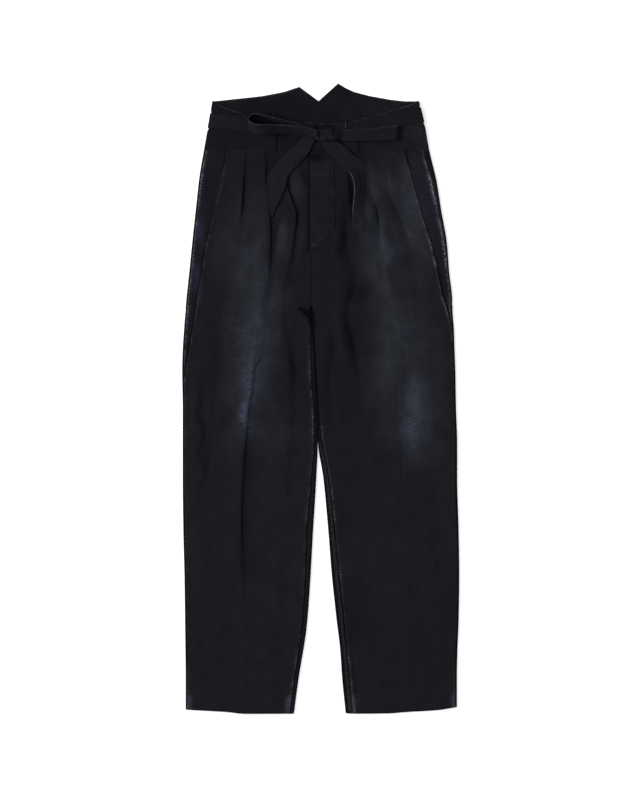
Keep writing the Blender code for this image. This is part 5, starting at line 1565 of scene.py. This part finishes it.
STITCH_LENGTH = 2.3
STITCH_PITCH = 3.1
STITCH_RISE = 0.16  # how far its middle stands up
STITCH_SINK = 0.15  # how far its ends go into the cloth
STITCH_LIFT = 0.02  # how far its thread lies clear of the cloth
STITCH_SHOULDER = 0.06  # and how far beside its middle
THREAD = 0.26  # half the thread's width
POCKET_ROWS = (1.9, 6.9)  # how far in from the pocket line its rows of stitches lie
INSEAM_ROW = 1.6
OUTSEAM_ROW = 1.8
FLY_ROWS = (1.8, 7.5)
FLY_FIRST_ROW = -17.6  # x of the row along the fly's straight side
WAIST_ROW = 3.0  # above the waist seam
EDGE_ROW = 3.2  # below the waistband's upper edge
LINE_STEP = 8.0  # between the points of a line of stitches along a leg


def stitch_places(line, on):
    """Where each stitch along a line of (x, height) starts, is halfway and ends, on one piece."""
    line = np.array(line, float)
    gaps = np.linalg.norm(np.diff(line, axis=0), axis=1)
    far = np.concatenate([[0.0], np.cumsum(gaps)])
    for start in np.arange(STITCH_PITCH, far[-1] - STITCH_PITCH, STITCH_PITCH):
        at = start + STITCH_LENGTH * np.array((0.0, 0.5, 1.0))
        places = zip(np.interp(at, far, line[:, 0]), np.interp(at, far, line[:, 1]))
        places = [(x, height, surface_level(on, x, height)) for x, height in places]
        if all(level is not None for _, _, level in places):
            yield np.array(places)


def add_stitch(points, faces, start, middle, end):
    """Adds one stitch: a thread that stands up at its middle and goes into the cloth at its ends."""
    ahead = end - start
    ahead /= np.linalg.norm(ahead)
    side = np.cross(ahead, (0.0, 0.0, 1.0))
    side /= np.linalg.norm(side)
    up = np.cross(side, ahead)
    shoulder = middle + up * STITCH_SHOULDER
    rings = (
        (lerp(start + up * STITCH_LIFT, shoulder, 0.25), 0.7),
        (middle + up * (STITCH_RISE + STITCH_LIFT), 1.0),
        (lerp(end + up * STITCH_LIFT, shoulder, 0.25), 0.7),
    )
    first = len(points)
    points.append(start - up * STITCH_SINK)
    for centre, size in rings:
        for x_way, z_way in ((1.0, 0.0), (0.0, 1.0), (-1.0, 0.0), (0.0, -1.0)):
            points.append(centre + (side * x_way + up * z_way) * THREAD * size)
    points.append(end - up * STITCH_SINK)
    for k in range(4):
        n = (k + 1) % 4
        faces.append([first, first + 1 + n, first + 1 + k])
        for ring in (1, 5):
            a = first + ring
            faces.append([a + k, a + n, a + 4 + n, a + 4 + k])
        faces.append([first + 9 + k, first + 9 + n, first + 13])


def stitch_rows(name, lines, on):
    """Rows of short stitches along lines of (x, height), lying on one piece."""
    points = []
    faces = []
    for line in lines:
        for places in stitch_places(line, on):
            add_stitch(points, faces, *places)
    return add_piece(name, np.array(points), faces, CLOTHS["thread"])


def linear(*colour):
    """A colour given as it looks on a screen, 0 to 255, in the shader's own linear values."""
    return tuple((c / 255.0 / 12.92) if c < 11 else ((c / 255.0 + 0.055) / 1.055) ** 2.4 for c in colour)


class Nodes:
    """Short ways to add nodes to one material."""

    def __init__(self, material):
        material.use_nodes = True
        self.tree = material.node_tree
        self.shader = self.tree.nodes["Principled BSDF"]

    def set_input(self, node, name, value):
        socket = node.inputs[name]
        if isinstance(value, bpy.types.NodeSocket):
            self.tree.links.new(value, socket)
        else:
            socket.default_value = value

    def mark(self, name, output="Fac"):
        node = self.tree.nodes.new("ShaderNodeAttribute")
        node.attribute_name = name
        return node.outputs[output]

    def math(self, operation, a, b=0.0, c=0.0):
        node = self.tree.nodes.new("ShaderNodeMath")
        node.operation = operation
        for i, value in enumerate((a, b, c)):
            self.set_input(node, i, value)
        return node.outputs[0]

    def times(self, a, b):
        return self.math("MULTIPLY", a, b)

    def noise(self, place, size, detail=2.0, rough=0.5):
        """Noise from 0 to 1 with hills of so many millimetres across and along the cloth."""
        scaled = self.tree.nodes.new("ShaderNodeMapping")
        scaled.inputs["Scale"].default_value = tuple(1.0 / s for s in size)
        self.tree.links.new(place, scaled.inputs["Vector"])
        node = self.tree.nodes.new("ShaderNodeTexNoise")
        node.inputs["Scale"].default_value = 1.0
        node.inputs["Detail"].default_value = detail
        node.inputs["Roughness"].default_value = rough
        self.tree.links.new(scaled.outputs[0], node.inputs["Vector"])
        return node.outputs["Fac"]

    def ramp(self, value, low, high, to_low=0.0, to_high=1.0):
        node = self.tree.nodes.new("ShaderNodeMapRange")
        for name, setting in zip(("Value", "From Min", "From Max", "To Min", "To Max"),
                                 (value, low, high, to_low, to_high)):
            self.set_input(node, name, setting)
        return node.outputs[0]

    def mix(self, share, a, b, blend="MIX"):
        node = self.tree.nodes.new("ShaderNodeMix")
        node.data_type = "RGBA"
        node.blend_type = blend
        for i, value in ((0, share), (6, a), (7, b)):
            if isinstance(value, tuple):
                value = (*value, 1.0)
            self.set_input(node, i, value)
        return node.outputs[2]

    def grey(self, value):
        """A number as a colour, to multiply with."""
        node = self.tree.nodes.new("ShaderNodeCombineColor")
        for i in range(3):
            self.set_input(node, i, value)
        return node.outputs[0]


TWILL_PITCH = 0.9  # millimetres from one twill line to the next
TWILL_LEAN = 62.0  # degrees


def cloth_material(name, base, wash, blue, wear, rough=0.92, grain=1.0):
    """Washed and worn twill: dark dye, with paler patches, rubbed seams, a slubby weave and painted shade."""
    material = bpy.data.materials.new(name)
    nodes = Nodes(material)
    weave = nodes.mark("weave", "Vector")
    slub = nodes.noise(weave, (1.5, 22.0, 1.0), detail=3.0)
    weft = nodes.noise(weave, (15.0, 2.3, 1.0))
    fleck = nodes.noise(weave, (2.0, 2.6, 1.0), rough=0.6)
    ladder = nodes.noise(weave, (5.0, 2.5, 1.0))
    mottle = nodes.noise(weave, (26.0, 38.0, 1.0), detail=4.0, rough=0.55)
    uneven = nodes.times(nodes.ramp(mottle, 0.3, 0.7, 0.75, 1.2), nodes.ramp(weft, 0.3, 0.7, 0.85, 1.15))
    washed = nodes.times(nodes.mark("wash"), uneven)
    colour = nodes.mix(washed, linear(*base), linear(*wash))
    threads = nodes.times(nodes.ramp(weft, 0.34, 0.66, 0.45, 1.45), nodes.ramp(mottle, 0.3, 0.7, 0.8, 1.15))
    bleached = nodes.times(nodes.mark("blue"), threads)
    colour = nodes.mix(bleached, colour, linear(*blue))
    # Pale rubbed wear; on the bow's ends this mark is a painted highlight
    rubbed = nodes.times(nodes.mark("wear"), nodes.ramp(ladder, 0.42, 0.58, 0.15, 1.55))
    colour = nodes.mix(rubbed, colour, linear(*wear))
    # Painted shade: the mark dims the colour where folds, edges and the bow would shade the cloth
    painted_shade_factor = nodes.ramp(nodes.mark("deep"), 0.0, 1.35, 1.0, 0.055)
    colour = nodes.mix(1.0, colour, nodes.grey(painted_shade_factor), "MULTIPLY")
    for texture, spread in ((slub, 0.10 * grain), (fleck, 0.12 * grain), (mottle, 0.10)):
        shade = nodes.ramp(texture, 0.3, 0.7, 1.0 - spread, 1.0 + spread)
        colour = nodes.mix(1.0, colour, nodes.grey(shade), "MULTIPLY")
    nodes.set_input(nodes.shader, "Base Color", colour)
    raise_weave(nodes, weave, slub, fleck)
    rougher = nodes.ramp(fleck, 0.2, 0.8, rough - 0.05, rough + 0.05)
    nodes.set_input(nodes.shader, "Roughness", rougher)
    nodes.shader.inputs["Specular IOR Level"].default_value = 0.02
    nodes.shader.inputs["Sheen Weight"].default_value = 0.010
    nodes.shader.inputs["Sheen Roughness"].default_value = 0.5
    nodes.shader.inputs["Sheen Tint"].default_value = (0.8, 0.85, 1.0, 1.0)
    return material


def raise_weave(nodes, weave, slub, fleck):
    """Raises the twill's lines, the slubs and the flecks on a cloth."""
    turned = nodes.tree.nodes.new("ShaderNodeMapping")
    turned.inputs["Rotation"].default_value = (0.0, 0.0, math.radians(TWILL_LEAN))
    nodes.tree.links.new(weave, turned.inputs["Vector"])
    twill = nodes.tree.nodes.new("ShaderNodeTexWave")
    twill.inputs["Scale"].default_value = math.pi / 10.0 / TWILL_PITCH
    twill.inputs["Distortion"].default_value = 0.6
    nodes.tree.links.new(turned.outputs[0], twill.inputs["Vector"])
    height = nodes.math("MULTIPLY_ADD", twill.outputs["Fac"], 0.5, nodes.times(slub, 0.9))
    height = nodes.math("MULTIPLY_ADD", fleck, 0.8, height)
    bump = nodes.tree.nodes.new("ShaderNodeBump")
    bump.inputs["Strength"].default_value = 0.5
    bump.inputs["Distance"].default_value = 0.14 * MM
    nodes.tree.links.new(height, bump.inputs["Height"])
    nodes.tree.links.new(bump.outputs[0], nodes.shader.inputs["Normal"])


def make_cloths():
    """One material for each of the record's slots, and the sewing thread."""
    pale = (106, 105, 114)
    thigh = (44, 47, 52)
    knee = (55, 61, 74)
    return {
        "leg_denim": cloth_material("leg_denim", (24, 23, 28), thigh, knee, pale),
        # The back's dimmer base is painted shade: only its rolled edges show, and they lie in shade
        "back_denim": cloth_material("back_denim", (21, 20, 25), (39, 38, 44), knee, pale),
        "pocket_denim": cloth_material("pocket_denim", (23, 22, 28), (39, 39, 45), (43, 40, 61), pale),
        "waist_denim": cloth_material("waist_denim", (19, 19, 23), (32, 32, 37), knee, pale, grain=0.7),
        "belt_cloth": cloth_material("belt_cloth", (23, 22, 27), (32, 32, 36), knee, (85, 85, 92), grain=0.6),
        "thread": cloth_material("thread", (32, 32, 35), thigh, knee, pale, rough=0.7),
    }


# How each sheet is held and what it lies on, where SIDE is its own side.  The backs of the legs and
# the belt behind the waist lie on the surface itself.
LAID = {
    "front_leg": ("laid", ("back_leg_SIDE", "side_panel_SIDE")),
    "back_leg": ("laid", ()),
    "side_panel": ("laid", ("back_leg_SIDE",)),
    "waistband_front": ("laid", ("waistband_back_SIDE",)),
    "waistband_back": ("laid", ("belt_back",)),
    "fly_placket": ("laid", ("front_leg_r", "front_leg_l")),
    "belt_loop": ("laid", ("waistband_front_SIDE", "belt_strand_SIDE")),
    "belt_back": ("laid", ()),
    "belt_strand": ("laid", ("waistband_front_SIDE",)),
    "knot": ("folded", ("tail_r", "tail_l")),
    "bow_loop": ("folded", ("knot", "belt_strand_SIDE")),
    "tail": ("laid", ("waistband_front_SIDE", "front_leg_SIDE")),
}


def lies_on(name):
    """How a sheet is held, and the names of the pieces that it lies on."""
    held, under = next(row for start, row in LAID.items() if name.startswith(start))
    return held, [other.replace("SIDE", name[-1]) + "_cloth" for other in under]


def offset_line(rate, heights, inset):
    """A line of (x, height) that follows a seam, so far to its side."""
    return [(float(rate(height)) + inset, height) for height in heights]


def make_stitches(legs):
    """The sewing that shows, by the piece that it is on: pockets, side seams, inseams, hems,
    waistband and fly."""
    rows = {}
    for leg in legs:
        side = leg.side
        inward = leg.inward
        high = np.arange(POCKET_END[side] + 12.0, WAIST_SEAM - 3.0, LINE_STEP)
        full = np.arange(4.0, CROTCH - 8.0, LINE_STEP)
        low = full[full < POCKET_END[side] - 8.0]
        lines = [offset_line(leg.pocket, high, inward * inset) for inset in POCKET_ROWS]
        lines.append(offset_line(leg.inseam, full, -inward * INSEAM_ROW))
        lines.append(offset_line(leg.outseam, low, inward * OUTSEAM_ROW))
        wide = np.linspace(float(leg.outseam(16.0)), float(leg.inseam(16.0)), 60)[1:-1]
        slant = 1.0 - HEM_SEAM / HEM_FADE
        lines.append([(x, HEM_SEAM + slant * float(leg.hem(x))) for x in wide])
        rows["front_leg_" + side] = ("stitches_leg_" + side, lines)
        places = np.linspace(float(leg.outseam(1000.0)) + inward * 4.0, CENTRE_FRONT - inward * 2.0, 50)
        lines = [[(x, WAIST_SEAM + WAIST_ROW) for x in places]]
        lines.append([(x, float(front_edge(x)) - EDGE_ROW) for x in places])
        rows["waistband_front_" + side] = ("stitches_waist_" + side, lines)
    fly_right = curve(FLY, FLY_COLUMNS, "right")
    heights = np.arange(788.0, 956.0, 4.0)
    lines = [[(float(fly_right(h)) - inset, h) for h in heights] for inset in FLY_ROWS]
    lines.append([(FLY_FIRST_ROW, h) for h in heights])
    rows["fly_placket"] = ("stitches_fly", lines)
    return {on: stitch_rows(name, lines, on) for on, (name, lines) in rows.items()}


# The camera, straight above, as far off as a long lens stands, and how much it sees
VIEW_MIDDLE = (-0.7, -2.4)
VIEW_HEIGHT = 1360.0
CAMERA_HEIGHT = 5000.0

# The floor and the lamps, in metres and watts
FLOOR_REACH = 20.0
FLOOR_DROP = 0.0004  # how far it lies under the trousers
LAMPS = (("key", (-2.2, 0.7, 1.9), 1.4, 90.0), ("fill", (1.6, -2.0, 2.4), 2.2, 40.0))


def make_floor():
    """A plain pale floor, as paper looks in a studio."""
    floor_mesh = bpy.data.meshes.new("floor")
    square = ((-1, -1), (1, -1), (1, 1), (-1, 1))
    corners = [(x * FLOOR_REACH, y * FLOOR_REACH, -FLOOR_DROP) for x, y in square]
    floor_mesh.from_pydata(corners, [], [(0, 1, 2, 3)])
    floor = add_object("floor", floor_mesh)
    paper = bpy.data.materials.new("white_paper")
    paper.use_nodes = True
    shader = paper.node_tree.nodes["Principled BSDF"]
    shader.inputs["Base Color"].default_value = (0.86, 0.86, 0.86, 1.0)
    shader.inputs["Roughness"].default_value = 0.9
    shader.inputs["Specular IOR Level"].default_value = 0.1
    shader.inputs["Emission Color"].default_value = (1.0, 1.0, 1.0, 1.0)
    shader.inputs["Emission Strength"].default_value = 0.45
    floor_mesh.materials.append(paper)


def make_light():
    """Soft studio light: white surroundings, a key light from the left and a fill from the right."""
    world = bpy.data.worlds.new("studio")
    world.use_nodes = True
    world.node_tree.nodes["Background"].inputs["Color"].default_value = (1.0, 1.0, 1.0, 1.0)
    world.node_tree.nodes["Background"].inputs["Strength"].default_value = 0.32
    bpy.context.scene.world = world
    for name, place, size, energy in LAMPS:
        light = bpy.data.lights.new(name, "AREA")
        light.size = size
        light.energy = energy
        lamp = add_object(name, light)
        lamp.location = place
        lamp.rotation_euler = (-Vector(place)).to_track_quat("-Z", "Y").to_euler()


def make_camera():
    """The camera, straight above, at the distance of a long lens."""
    lens = bpy.data.cameras.new("camera")
    lens.sensor_width = 36.0
    lens.lens = lens.sensor_width * CAMERA_HEIGHT / VIEW_HEIGHT
    lens.clip_end = 100.0
    camera = add_object("camera", lens)
    camera.location = (VIEW_MIDDLE[0] * MM, VIEW_MIDDLE[1] * MM, CAMERA_HEIGHT * MM)
    bpy.context.scene.camera = camera
    bpy.context.scene.view_settings.view_transform = "Standard"


CLOTHS = make_cloths()

leg_r = Leg("r", LEG_R, FOLDS_R, HEM_R, 1.0, CREASES_R, SEAM_WEAR_R)
leg_l = Leg("l", LEG_L, FOLDS_L, HEM_L, -1.0, CREASES_L, SEAM_WEAR_L)
ground = Ground()
for leg in (leg_r, leg_l):
    make_leg(leg)
    make_side_panel(leg)
    make_waistband_front(leg)
    make_waistband_back(leg)
for name in list(SURFACES):
    ground.add(name)
make_fly(ground)
make_belt_back((leg_r, leg_l))
for leg in (leg_r, leg_l):
    make_belt_strand(leg, ground)
for side in BELT_LOOPS:
    make_belt_loop(side, ground)
make_tail("r", TAIL_R, ground)
make_tail("l", TAIL_L, ground)
make_knot(ground)
make_open_loop(ground)
make_flat_loop(ground)
stitches = make_stitches((leg_r, leg_l))

for name, (piece, flat, area) in SHEETS.items():
    held, rests_on = lies_on(name)
    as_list(rests_on)
make_floor()
make_light()
make_camera()
